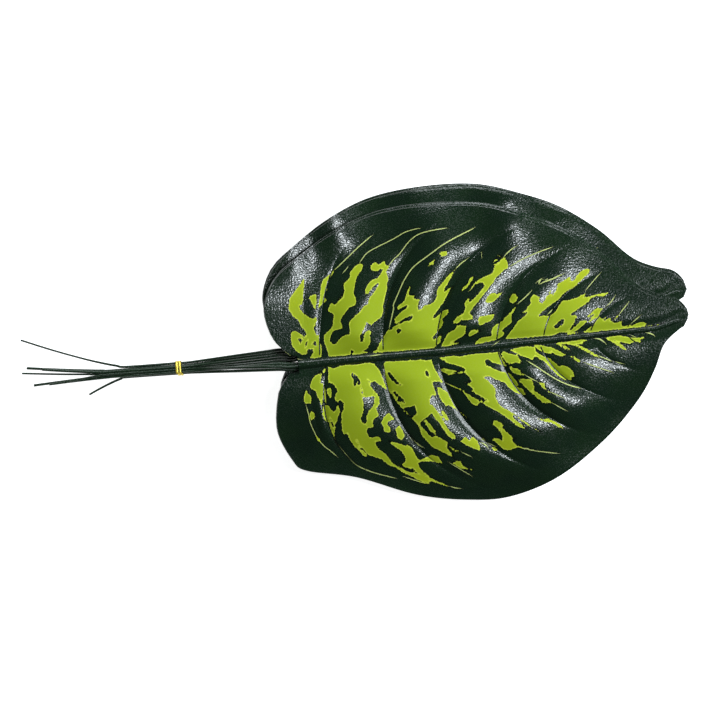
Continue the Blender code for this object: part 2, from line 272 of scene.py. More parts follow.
def vein_point(side, station, share):
    """A point of the blade, share of the way from the channel beside the midrib to the edge."""
    feet, shares, leans = np.array(VEINS[side], float).T
    places = np.arange(len(feet))
    foot, lean = np.interp(station, places, feet), np.interp(station, places, leans)
    edge = np.interp(station, places, shares)
    edge_x = np.interp(edge, EDGE_SHARE[side], EDGE_LINE[side][:, 0])
    edge_y = np.interp(edge, EDGE_SHARE[side], EDGE_LINE[side][:, 1])
    start_y = midrib_y(foot) + side * RIB_ROOM * rib_half_width(foot)
    bend_x = foot + lean * (edge_x - foot)
    bend_y = start_y + VEIN_RISE * (edge_y - start_y)
    a, b, c = (1 - share) ** 2, 2 * share * (1 - share), share**2
    return a * foot + b * bend_x + c * edge_x, a * start_y + b * bend_y + c * edge_y


VEIN_LINES = {
    side: [np.stack(vein_point(side, station, np.linspace(0, 1, 17)), axis=1) for station in range(11)]
    for side in (1, -1)
}
print("stations on each half:", len(VEIN_LINES[1]))

# %% [markdown]
# The relief is what the light shows: every panel swells between two veins and folds down sharply to them,
# the margins droop, and the midrib stands up in a shallow channel. The heights follow the source's own sums.

# %% The relief of a blade
SWELL = {
    1: [0.2, 0.4, 1.0, 5.0, 4.8, 4.0, 2.8, 1.6, 0.6, 0.2],
    -1: [0.2, 0.4, 1.4, 4.5, 4.5, 4.2, 3.5, 2.2, 1.0, 0.3],
}
# Soft waves of the blade and its margin, in millimetres: x, y, half width along x, half width along y, rise.
WAVES = [(-20, 54, 21, 17, 6.2), (8, 80, 10, 15, 5.5), (38, 92, 12, 16, 7.0), (104, 86, 16, 18, 7.0),
         (156, 84, 14, 17, 7.0), (190, 60, 13, 13, 2.8), (170, -92, 20, 18, 5.5), (188, -54, 13, 11, 2.8),
         (30, -30, 16, 12, 1.2)]
CROWN_DROP = {1: 6.0, -1: 9.0}
EDGE_DROOP = {1: 1.5, -1: 6.0}
VEIN_DEPTH = 0.7
VEIN_WIDTH = 1.5
FIRST_FOLD = 3
LAST_PANEL = 9
SIDE_LEAN = 0.037
ARCH_START, ARCH_END, ARCH_SPAN, ARCH_DROP = 105, 180, 163, 5.0
TIP_FALL, TIP_SPAN = 0.0282, 170
CHANNEL_DEPTH, CHANNEL_EDGE, SWELL_EDGE = 1.2, 9.0, 18.0
RIB_RISE = 1.7
MARGIN_WIDTH, MARGIN_FADE = 55.0, 1.4
DROOP_START, DROOP_END = 10.0, 60.0
FAR_AWAY = 60.0


def off_line(points, line):
    """Distances from points to a line, and on which side of it they lie."""
    best, hand = np.full(len(points), np.inf), np.ones(len(points))
    for start, end in zip(line, line[1:]):
        way = end - start
        away = points - start
        share = np.clip(away @ way / max(way @ way, 1e-9), 0, 1)
        gap = np.linalg.norm(away - share[:, None] * way, axis=1)
        nearer = gap < best
        best = np.where(nearer, gap, best)
        hand = np.where(nearer, np.sign(way[0] * away[:, 1] - way[1] * away[:, 0]), hand)
    return best, hand


def off_veins(points, side):
    """Distances from points to each vein of a half."""
    return np.stack([off_line(points, line)[0] for line in VEIN_LINES[side]])


def off_fold(veins, panel):
    """Distance from the nearer fold beside each point's panel. The veins next to the notch have no fold."""
    folds = np.vstack([np.full_like(veins[:FIRST_FOLD], FAR_AWAY), veins[FIRST_FOLD:]])
    order = np.arange(len(panel))
    return np.minimum(folds[panel, order], folds[panel + 1, order])


def blade_height(points, station, level):
    """Height of the upper face. The stack's upper leaves drape further down at their edges."""
    x, y = points.T
    off_rib = np.abs(y - midrib_y(x))
    half = rib_half_width(x)
    past = np.maximum(x - ARCH_END, 0)
    height = -SIDE_LEAN * y - ARCH_DROP * ((np.clip(x, ARCH_START, ARCH_END) - ARCH_START) / ARCH_SPAN) ** 2
    height -= TIP_FALL * past * (1 - past / TIP_SPAN)
    for wave_x, wave_y, length, breadth, rise in WAVES:
        height += rise * np.exp(-(((x - wave_x) / length) ** 2 + ((y - wave_y) / breadth) ** 2) / 2)
    height -= CHANNEL_DEPTH * (1 - smooth(half, CHANNEL_EDGE, off_rib))
    height += RIB_RISE * half / RIB_HALF_WIDTH * np.maximum(0, 1 - (off_rib / half) ** 2)
    side_of = np.where(y >= midrib_y(x), 1, -1)
    panel = np.minimum(station.astype(int), LAST_PANEL)
    for side in (1, -1):
        half_of = side_of == side
        off_edge = off_line(points[half_of], EDGE_LINE[side][::2])[0]
        at_edge = 1 - smooth(0, MARGIN_WIDTH, off_edge)
        across = np.abs(y[half_of])
        veins = off_veins(points[half_of], side)
        here = panel[half_of]
        before, after = (veins[here + step, np.arange(len(here))] for step in (0, 1))
        crest = np.sin(np.pi * before / np.maximum(before + after, 1e-6))
        swell = np.array(SWELL[side])[here] * crest * (1 - at_edge) ** MARGIN_FADE
        swell -= VEIN_DEPTH * (1 - at_edge) * np.exp(-(off_fold(veins, here) / VEIN_WIDTH) ** 2)
        swell *= smooth(RIB_HALF_WIDTH, SWELL_EDGE, off_rib[half_of])
        swell -= EDGE_DROOP[side] * at_edge**2 * smooth(DROOP_START, DROOP_END, across)
        swell -= (CROWN_DROP[side] + 0.5 * level) * (across / 100) ** 2
        height[half_of] += swell
    return height


# %% [markdown]
# The print is drawn as outlines on a plan of the front leaf, where one step is the width of a vein line
# (0.68 mm). Each outline is a splash of lime, each gap is a dark fleck inside one, and each line is a thin lime
# hair that runs beside a vein. The blade keeps how far every point lies inside or outside of the nearest
# splash, and the shader makes the ragged edges from that.

# %% The print's splashes, on the plan of the front leaf
SPLASHES = [
    [(303.4, 278), (296, 288), (289, 298), (288, 309), (292, 315), (298, 320), (301, 326), (305, 331),
     (306, 336), (303, 335.5), (294.5, 330), (290.7, 332), (290.4, 338), (291.7, 345), (295, 350), (301, 354),
     (306, 353.5), (307, 350.8), (305, 348.8), (308, 348.5), (312.5, 349), (313.3, 352), (309, 357.5),
     (320, 357.5), (321.5, 349), (319.2, 340), (318.5, 334.7), (315.5, 334.4), (313, 329), (313.5, 324),
     (316, 322), (316, 316.3), (312.5, 318.3), (307.8, 316.3), (303, 313.3), (299.4, 308.6), (298.7, 304.2),
     (301.7, 304.2), (302.4, 295), (303.2, 287)],
    [(308, 298), (309.5, 295.5), (315.5, 293), (316, 300), (315, 309.5), (312.5, 306), (311, 301.5)],
    [(333.6, 269), (322, 280), (320.5, 284.5), (319.8, 292.5), (318.5, 302), (317.5, 308), (319.8, 305.2),
     (325.2, 300.5), (326, 299), (322.8, 296.5), (323.8, 292.5), (326, 289.8), (326.2, 280.5), (332, 273.8)],
    [(358, 262.5), (349.3, 271), (350, 277), (342.6, 283), (344, 288.5), (343.3, 294), (338, 297.2),
     (339, 299.2), (334.6, 304.6), (330.5, 302), (327.2, 308), (327.2, 310.6), (333.2, 313.3), (333, 319.3),
     (332.2, 325.3), (328.5, 330), (324.5, 333), (322.8, 337.4), (323.8, 342.7), (326.5, 348.8), (328, 357),
     (340.6, 357), (350, 356), (367.4, 354.5), (368, 351.5), (362, 350.8), (367.4, 346.8), (370, 341.4),
     (369.4, 334.7), (371, 330.3), (366, 330.2), (363.4, 334.7), (362.7, 342), (359.5, 341.4), (359.3, 335.4),
     (364, 326.7), (366, 321.4), (371.4, 325.2), (373.4, 322), (380.4, 316.6), (382.7, 310.6), (382, 306),
     (383.7, 298), (386.7, 287), (386, 284.5), (387.7, 277), (385.4, 271), (389, 264), (381.4, 271),
     (376.8, 277.8), (370.7, 279.8), (366.4, 284.5), (364.4, 290.5), (365.4, 295), (369.4, 290.5),
     (374, 283.8), (379, 282), (374.8, 289.8), (371.4, 294.5), (368, 298), (367.7, 303.2), (361.7, 306.6),
     (360.7, 310.6), (352.6, 316.6), (348.3, 322), (349.6, 332), (348, 334.4), (345.3, 334.4), (340.6, 336.4),
     (335.2, 343.4), (332, 343.7), (329, 340), (330.5, 334), (333.2, 329), (340.6, 329), (342, 325.3),
     (340, 321.3), (340, 318), (344.6, 312), (348.6, 306.6), (352, 306.2), (355, 303.2), (355.7, 298.5),
     (352.6, 292.5), (354.7, 281.8), (356, 277), (358, 273), (362, 267.7), (362.4, 263.7)],
    [(369.4, 265.7), (373.8, 260.8), (378.4, 264.5), (383.6, 259.5), (385, 264.4), (388.2, 264.2),
     (385.5, 271), (381.5, 272), (382, 268.5), (379.5, 267.5), (376.8, 271), (371, 269.4)],
    [(376.5, 347.5), (382.4, 336.7), (388.4, 328), (390, 330.5), (393, 326), (397, 324), (402.5, 322),
     (406.5, 319.3), (409.2, 321.3), (411.5, 319.3), (412, 314), (404, 317.5), (397, 322), (394.4, 322),
     (393.1, 319.3), (395.1, 316.6), (401.8, 310.6), (407.8, 306), (407.8, 303.8), (401.1, 306.6),
     (397.1, 309.6), (395.1, 308.6), (398.4, 304.6), (403.1, 301.2), (404.5, 298), (405.8, 292.5),
     (407.2, 286.1), (410.2, 286.1), (407.8, 291.8), (408.5, 294.5), (411.2, 295.2), (414, 293.5),
     (412.8, 298), (413.8, 300), (416, 298.2), (419.5, 298.5), (416.5, 306.6), (418, 310), (420, 309.6),
     (424, 304.6), (428.6, 304.2), (433.3, 301.2), (435.3, 298.5), (436.6, 292.5), (436.3, 289.2),
     (439.3, 285.1), (447.3, 275.1), (454.3, 268.5), (448.7, 279.8), (443.3, 288.5), (443.5, 291.5),
     (448.7, 287.5), (452, 286.1), (446, 295.2), (442.6, 302), (437.3, 308.6), (432, 316.6), (432.6, 318.6),
     (439.3, 313.3), (442.6, 310), (447.3, 309), (448, 312), (441.3, 318.6), (443, 320), (441.3, 324.7),
     (437.3, 330.7), (432.6, 335.4), (431.3, 338.1), (433.3, 339.4), (441.3, 333.4), (439.3, 341.4),
     (435.3, 345.4), (430, 349.5), (415.2, 351), (401.8, 353), (382.4, 354), (378, 352)],
    [(371.4, 351.5), (376.8, 348.8), (377.6, 354), (371.4, 355)],
    [(438, 252), (441, 250), (443, 251.5), (446.5, 250.5), (446.5, 254), (442.5, 256.5)],
    [(428, 265), (430, 261), (434.5, 259.5), (433, 263.5), (430, 266)],
    [(460.7, 291), (462, 286.5), (466.8, 283.8), (468.8, 277.8), (473.5, 275.4), (468.8, 284), (464.8, 288)],
    [(440, 346), (446.7, 333.4), (449.4, 331.4), (454, 329), (456.4, 325.3), (460.1, 324.3), (465.4, 325.3),
     (464.8, 332), (461.4, 336), (456, 338.7), (448.7, 342.7), (460, 342.5), (452, 344.5)],
    [(452, 322.3), (455.4, 317.3), (459.7, 314.3), (464.8, 308), (463.8, 302), (468.1, 296.5), (468, 302.6),
     (472, 299.6), (477, 294), (481.1, 289.1), (484, 285), (482, 281), (474.8, 283.5), (469.2, 290.5),
     (474.1, 281.8), (479, 278.7), (483.2, 276), (489.5, 274.2), (492.7, 271), (493.8, 265.2), (492.3, 260.3),
     (495.2, 256.8), (505.7, 248.8), (496, 258), (495.2, 263.8), (498, 262.4), (500.8, 258.2), (503.6, 255.4),
     (506.4, 261), (508.1, 266.3), (501.5, 270.4), (496, 276), (492.3, 282.1), (486.7, 289.1), (481.1, 296.1),
     (474.1, 305.2), (468.5, 312.2), (473.4, 317.5), (465, 320), (461.4, 318.6), (457.4, 322.6)],
    [(484, 302.4), (486.7, 296.1), (493, 290.5), (494.5, 294), (501.5, 291.5), (498, 296), (493, 301)],
    [(508, 296), (514, 292.2), (517, 296.8), (514, 303), (510, 301.7)],
    [(477.3, 316.4), (493.8, 313.3), (492.3, 317.8), (488.8, 320.6), (478.3, 325.2)],
    [(467.1, 334.7), (469.2, 330.5), (474.1, 328.7), (480.4, 330.1), (475.5, 332.6), (469.2, 336.1)],
    [(473.4, 344), (479, 337.5), (485.3, 336.3), (491, 335.4), (490.6, 330.5), (493, 325.6), (501.5, 320.6),
     (507.1, 314.3), (511.3, 310.1), (517, 303), (511, 314), (511, 319.2), (510, 322.7), (500, 330),
     (503.2, 332), (503, 334.7), (498, 338), (490.2, 340.3), (479, 342.5)],
    [(504.5, 338.5), (517, 321.3), (525.3, 314.3), (527.4, 311), (520.4, 312.6), (526, 308.7), (526.7, 306),
     (530.2, 303.1), (529.5, 298.2), (532.3, 293.6), (538.6, 296), (538.6, 301.7), (541.4, 303.1),
     (543.5, 301), (547, 293.3), (551, 289), (550.5, 295), (552.7, 294.7), (556.2, 288.4), (556.2, 283.5),
     (563.2, 280), (569.8, 275.4), (570, 281), (574, 279.6), (576.1, 274.6), (580.4, 270.4), (586.7, 267.6),
     (589, 269), (587.4, 273.2), (576.8, 283.1), (572, 288), (567.7, 289.4), (562.5, 293.3), (558.3, 298.2),
     (549.2, 304.5), (540.7, 311.5), (537.2, 316.4), (542, 315), (549.2, 315.7), (555.5, 310.1),
     (558.3, 304.5), (562, 300.3), (568.4, 299.2), (578.2, 296.4), (581.8, 293.6), (585.3, 292.2),
     (582, 297), (591, 295), (601.4, 292.9), (609, 291), (602.8, 295.7), (595.1, 295.5), (590.2, 297.1),
     (587.4, 301.3), (581, 305.5), (576.1, 309), (569.8, 313.2), (570.5, 314.6), (576.8, 314.6),
     (573.3, 321.7), (568.4, 328.7), (567.4, 331.5), (558, 332), (552.7, 334.5), (537.2, 335.8),
     (523.2, 337)],
    [(564, 336), (570.5, 329.4), (576.1, 324.5), (580.4, 319.6), (586, 320.3), (581.8, 325.2), (576.8, 328.7),
     (573.3, 331.5), (579.6, 332.5), (575, 335)],
    [(577, 334), (586, 329.4), (592.3, 324.5), (596.5, 318.5), (595.8, 316.8), (588.5, 321), (591, 317.5),
     (586.7, 316), (591.6, 311.1), (597.2, 307), (600, 308.3), (604.4, 304.8), (599.3, 311.1), (598, 314.6),
     (600, 317.5), (602.5, 320), (605, 315.4), (603.5, 321), (608.6, 316), (610, 321), (617.5, 313.2),
     (618.5, 314.5), (612, 321), (614.7, 322.4), (621.1, 320.3), (620.4, 324.5), (624.6, 326), (628.1, 323.8),
     (631, 325), (635.1, 323.1), (642.1, 321), (645.6, 323.1), (644.2, 325.2), (658.2, 323.8), (664, 321.3),
     (656.8, 325.8), (644.2, 328.5), (628.1, 330), (611.2, 332.5), (596.5, 333.5)],
    [(603.5, 337.1), (609.1, 336), (618.2, 335), (627.4, 336.3), (634.4, 337.3), (644.2, 336.4),
     (638.6, 339.2), (640.7, 342), (634.4, 340.3), (630.2, 342.7), (625.3, 342.4), (614.7, 340), (627.4, 349),
     (623.2, 349), (615.4, 344.1), (609.1, 340)],
    [(555, 340), (569.1, 339.5), (580.6, 338), (586.7, 339.6), (580.6, 341.5), (582.9, 343), (576, 343.4),
     (584.4, 347.6), (596, 354.5), (599.7, 358.7), (588.3, 352.2), (575.2, 345.3), (565.3, 343),
     (560.7, 343.4), (568.4, 347.6), (570, 351.4), (561.5, 346.8), (553.8, 341.5)],
    [(570, 356), (572.2, 355), (580.6, 360.6), (583, 361.8), (578.3, 361.4), (573, 359.1)],
    [(533, 344), (541.4, 344.8), (547, 346), (551.2, 347), (558.2, 350.5), (565, 354), (561, 355.8),
     (554.7, 354), (549.1, 349.8), (549.8, 353), (544.2, 352), (538, 349.1), (534.4, 346.3)],
    [(509.1, 349), (516.1, 347.5), (525.3, 345.5), (533.7, 346.5), (535.1, 351.2), (542.1, 355.4),
     (549.1, 358.2), (554.7, 362.5), (558.2, 366), (562.5, 364.6), (566.8, 366), (572.2, 371.3),
     (573.7, 376), (570, 376), (570.7, 379), (563.8, 379), (556.1, 374), (550.5, 368.1), (545.6, 362.5),
     (539.3, 358.2), (533.7, 354.7), (531.6, 359.3), (526, 356.8), (516.1, 352.6)],
    [(500.7, 352.5), (503.5, 350.5), (509.1, 353.5), (516.8, 354.7), (519, 359), (521.8, 363.2),
     (516.1, 361.8), (509.1, 363.2), (505, 361.1), (502.8, 357.5)],
    [(508.4, 365.3), (512, 366.7), (519.6, 369.5), (520.4, 372.3), (524.6, 374), (520.4, 374.4),
     (513.3, 372.6), (509.8, 368.8)],
    [(517.5, 379.3), (523.2, 378), (531.6, 379.3), (532.3, 383.5), (534.4, 387.7), (531.6, 389.1),
     (535.8, 392), (544.2, 396.8), (553.3, 403.2), (542.1, 401.8), (533.7, 394.7), (527.4, 389.1),
     (521.8, 383.5)],
    [(538, 382.1), (544.2, 382.1), (543.5, 385), (545.6, 389.1), (549.8, 392), (545.6, 390.5), (540.7, 385.6)],
    [(438, 357), (445.4, 356), (453.7, 355), (458.3, 356.5), (461.4, 355.5), (474, 353), (488.1, 352.5),
     (498, 351.5), (500.7, 356.8), (506.3, 366.7), (502.8, 364.6), (492.3, 361.8), (486.7, 358.2),
     (484, 359.6), (485.3, 364.6), (491.6, 367.4), (499.3, 371), (505.6, 371.6), (510.5, 374.4), (515.4, 380),
     (518.2, 384.2), (515.4, 386.3), (521.8, 388.4), (525.3, 394), (520.4, 394), (514, 391.2), (507.7, 386.3),
     (503.5, 381.4), (498, 380), (488.1, 375.1), (481.8, 376.5), (487.4, 380), (492.3, 385), (495.1, 389.1),
     (494.4, 396.1), (499.3, 405.3), (513.3, 413), (528.8, 424.2), (542.8, 432), (534.4, 429), (523.2, 421.5),
     (511.9, 414.4), (513.3, 418.6), (521.8, 425), (527.4, 428.4), (517.5, 426.3), (509.1, 419.3),
     (500.7, 413), (490.2, 407.4), (480.4, 401.8), (476.8, 402.5), (477.5, 406.3), (472.6, 404),
     (468.4, 399.6), (464.2, 393.5), (458, 389), (450, 384.5), (459.3, 388), (465.6, 392), (474.7, 398),
     (481, 400.8), (488.8, 400.4), (481, 396.1), (471.2, 390.5), (473.3, 388.4), (463.5, 382.1),
     (472, 381.5), (467, 374.4), (464.8, 373.1), (453.7, 372.6), (448.2, 374.5), (442.6, 371.3),
     (438, 367.2), (445, 368), (451, 369.4), (463, 371.8), (465.3, 370), (463, 366.6), (453.7, 364),
     (446.3, 362)],
    [(492.3, 420), (497.2, 420.7), (503.5, 424.2), (500.5, 426.8), (505, 430.5), (509.1, 434.7), (515.4, 439),
     (510.5, 439), (516.1, 445.3), (521.8, 446.7), (514.7, 447), (507.7, 450), (502.1, 448.1), (496.5, 442.5),
     (491, 439), (492.3, 437.5), (498, 438.2), (502.1, 440.4), (502.1, 436.1), (499.3, 430), (492.3, 423.5)],
    [(460, 441), (464.2, 436.1), (469.1, 440.4), (471.2, 436.1), (476.8, 440.4), (479.6, 450), (472, 447.5),
     (464, 443.5)],
    [(480.4, 437), (484, 438.2), (485.3, 441), (481.5, 440)],
    [(491, 446.5), (495, 447), (497, 450.5), (493, 450)],
    [(535.4, 416.1), (542.1, 419), (547, 418), (551.2, 419.3), (558.2, 423.5), (564, 428), (558.2, 426.7),
     (551.2, 422.1), (542.8, 420.7), (536.5, 418)],
    [(382.6, 364.8), (384.4, 361), (402, 360.5), (420.5, 359), (424.1, 360), (430.6, 359), (433.4, 367.6),
     (438, 375), (443.6, 384.2), (439, 381), (430.6, 380.5), (434.3, 389.7), (436.2, 395.3), (431.5, 394.2),
     (428.8, 398.1), (429.7, 403.1), (435.2, 408.7), (439, 413.8), (443.6, 422.1), (448.2, 429.5),
     (455.6, 436), (453.7, 439.7), (448.2, 436), (444.5, 431.3), (439, 423), (435.2, 418.4), (430.6, 412),
     (427.8, 415.6), (424.1, 418.4), (429.7, 424), (435.7, 431.3), (434.3, 434.6), (447.3, 441.5),
     (445.4, 446.1), (453.7, 457.2), (439, 449.8), (431.5, 446.1), (420.5, 434.1), (420, 429.5), (415, 421.2),
     (407.5, 414.7), (402, 408.2), (396.4, 401.8), (391.8, 394.4), (387.2, 388.8), (385, 381.4), (383, 371.3)],
    [(436.2, 385.1), (440.8, 388), (447.3, 391.6), (450, 398.1), (453.7, 405.5), (461.1, 412.8),
     (468, 418.5), (462, 413.8), (455, 408.7), (448.2, 404.5), (445.4, 405.5), (440.8, 400), (438, 394.4)],
    [(439, 409.1), (442.6, 410.1), (448.2, 418.4), (446.3, 420.7), (442.6, 416.5)],
    [(447.3, 445.2), (453.7, 448), (460.2, 452.6), (455.6, 451.7), (450, 448)],
    [(452, 462.8), (455.6, 460.4), (460.2, 461), (461.1, 464.6), (466.7, 467.4), (474.1, 470.1),
     (461.1, 468.3)],
    [(418, 461), (420.5, 459.1), (431.5, 454.4), (438, 456.3), (441.7, 462.8), (429.7, 460.5)],
    [(388.1, 440.6), (396.4, 442.4), (404.7, 445.2), (410.3, 441.5), (406.6, 444.3), (412.1, 448),
     (414, 452.6), (416.8, 458.1), (420.5, 460.5), (417.2, 462.8), (420.5, 469.2), (429.7, 477.5),
     (448.2, 486), (442, 484.5), (430, 480.5), (420, 474.5), (408, 467), (403, 466.5), (401, 463.7),
     (404.7, 461.8), (404.7, 456.3), (400.1, 449.8), (391.8, 444.3)],
    [(380.2, 423), (383.5, 416.5), (388.1, 411.5), (390, 414.7), (393.7, 418.4), (387.2, 421.2),
     (386.3, 424), (390, 427.6), (389, 432.3), (382.6, 430.4), (383.5, 426.7)],
    [(395, 427.6), (399.2, 425), (402, 430.4), (403.8, 435), (401, 440.1), (396.4, 436)],
    [(305.4, 389), (307.5, 393), (311, 396.4), (310.3, 402.7), (306.8, 402.7), (304.6, 403.4), (303.6, 400.6),
     (304, 394.3)],
    [(309.2, 413.2), (311, 411.1), (313.8, 412.5), (314.1, 416.8), (311, 419.6), (309.6, 419)],
    [(315.2, 435.7), (318.7, 437.8), (319.7, 440.6), (317.3, 440)],
    [(309.2, 386.6), (311, 381), (312.4, 377.5), (316, 374), (318.7, 373.2), (320.8, 376.1), (319.4, 383.1),
     (322.9, 383.1), (324.3, 390.1), (325.4, 402.7), (323, 397), (321.5, 399.5), (320.8, 404.8),
     (319.4, 400), (316.6, 395.7), (315.2, 390.1), (310.3, 388)],
    [(318.5, 371.5), (322.9, 370), (325, 366.5), (324.5, 372), (321, 373)],
    [(322.2, 406.2), (324.3, 404.5), (327.8, 404.8), (330, 408.3), (333.4, 411.8), (335.5, 409), (337, 403.4),
     (339.7, 412.5), (337, 416.1), (337, 419.6), (334.1, 423.1), (334.8, 428.7), (333.4, 432.2),
     (334.1, 437.8), (332.7, 434.3), (330.6, 429.4), (328.5, 421.7), (324.3, 419.6), (322.2, 415.4)],
    [(326.4, 390.1), (327.1, 387.3), (330.6, 387.3), (330.6, 395.7), (329.6, 397.5), (327.1, 393.6)],
    [(327.8, 366), (333.4, 368), (337, 366), (343.2, 364.5), (355.2, 364), (367.8, 362), (373, 363),
     (376.2, 366), (379.7, 371.8), (381.6, 376), (383.5, 381.4), (386.7, 389.7), (379, 384.2),
     (374.2, 380.5), (370.5, 382), (366.5, 377.5), (370.5, 387), (378, 395.3), (379, 403.6), (375.2, 407.3),
     (378.3, 414.6), (377, 416.8), (372, 419), (372.7, 427.3), (365.7, 427.3), (366.4, 433), (370, 437.8),
     (376.2, 435.7), (379.7, 437.1), (380.4, 440.6), (374.8, 441.3), (374.8, 444.1), (378.3, 449),
     (385.3, 453.5), (391, 461.8), (400.1, 467.4), (406.6, 471.1), (420.5, 473.8), (428.8, 478.5),
     (428.8, 483.6), (418.6, 480.3), (411.2, 475.7), (402, 472), (395.5, 466.5), (389, 465.5),
     (381.6, 459.1), (373.3, 456.3), (366.4, 453.5), (366, 457), (363, 455.4), (358.7, 450.4),
     (351.7, 443.4), (349, 438.5), (346.8, 432.2), (343.2, 434.3), (341.8, 429.4), (341.1, 421.7),
     (341.1, 412.5), (343.2, 408.3), (343.2, 403.4), (339.7, 398.5), (337, 401.3), (334.1, 399.2),
     (334.8, 394.3), (337.6, 390.1), (335.5, 387.3), (334.8, 385.2), (331.3, 382.4), (327.8, 381.7)],
]
print("splashes:", len(SPLASHES))

# %% The dark flecks inside the splashes
GAPS = [
    [(297, 338), (303, 338), (299.8, 343)], [(307.5, 340), (306, 345), (304, 345.8), (305.5, 341.5)],
    [(310.5, 343), (314.5, 340.5), (316.2, 341), (315.5, 345.8)],
    [(351.3, 348), (354, 351.5), (351, 353.5), (349.6, 350.8)], [(340, 297), (343, 296.5), (340.5, 299)],
    [(395.4, 329.5), (399, 327), (401, 329), (399.5, 332.5), (396.5, 333)],
    [(552.7, 325.6), (561.8, 317.8), (564, 318.5), (562.5, 323.4), (555.5, 329.1)],
    [(590, 314.5), (594, 313), (592, 316.5), (589, 317)],
    [(382.6, 369.4), (389, 371.3), (396.4, 380.5), (403, 385.1), (396.4, 384.2), (391.8, 380.5), (388, 375)],
    [(390, 389.7), (395.5, 391.6), (402, 398.1), (404.7, 402.7), (396.4, 400), (397.3, 397.1)],
    [(403.8, 406.4), (409.4, 406.4), (414, 404.5), (416.8, 413.8), (411.2, 416.5), (403.8, 409.1)],
    [(424.1, 371.3), (426, 369), (428.8, 373.1), (428.8, 377.3), (425.1, 375)],
    [(418.6, 423), (422.3, 419), (429.7, 430.4), (434, 433.2), (433.4, 437), (429.7, 436), (424.1, 429.5)],
    [(431, 418), (435, 419), (441, 428), (447, 436), (443, 437), (436, 431)],
    [(409, 467), (413, 467.5), (414.5, 470), (410, 470)],
    [(361.5, 397.1), (368.5, 396.4), (372.7, 395), (374.1, 397.1), (373.4, 404.1), (368.5, 410.4),
     (365.7, 416.1), (366.4, 422.4), (363.6, 423.8), (359.4, 419.6), (363, 410.4), (363, 404.1)],
    [(349, 371.1), (352.4, 372.5), (356.6, 376.1), (360.1, 381), (360.1, 385.2), (357.3, 384.5),
     (356, 381.7), (355.2, 387.3), (353.1, 384.5), (352.4, 379.6)],
    [(360.1, 388.7), (361.5, 388.7), (363, 395), (360.4, 393)],
    [(355.2, 439.2), (357.3, 439.2), (358.3, 443.4), (356.6, 442.7)],
    [(358.7, 445.5), (363, 448.3), (365.7, 452.5), (358, 447.6)],
    [(329, 416.1), (330.6, 418.2), (333.4, 424.5), (333.4, 428), (331.3, 425.2)],
    [(460.5, 312), (463, 311), (461.5, 315)],
]

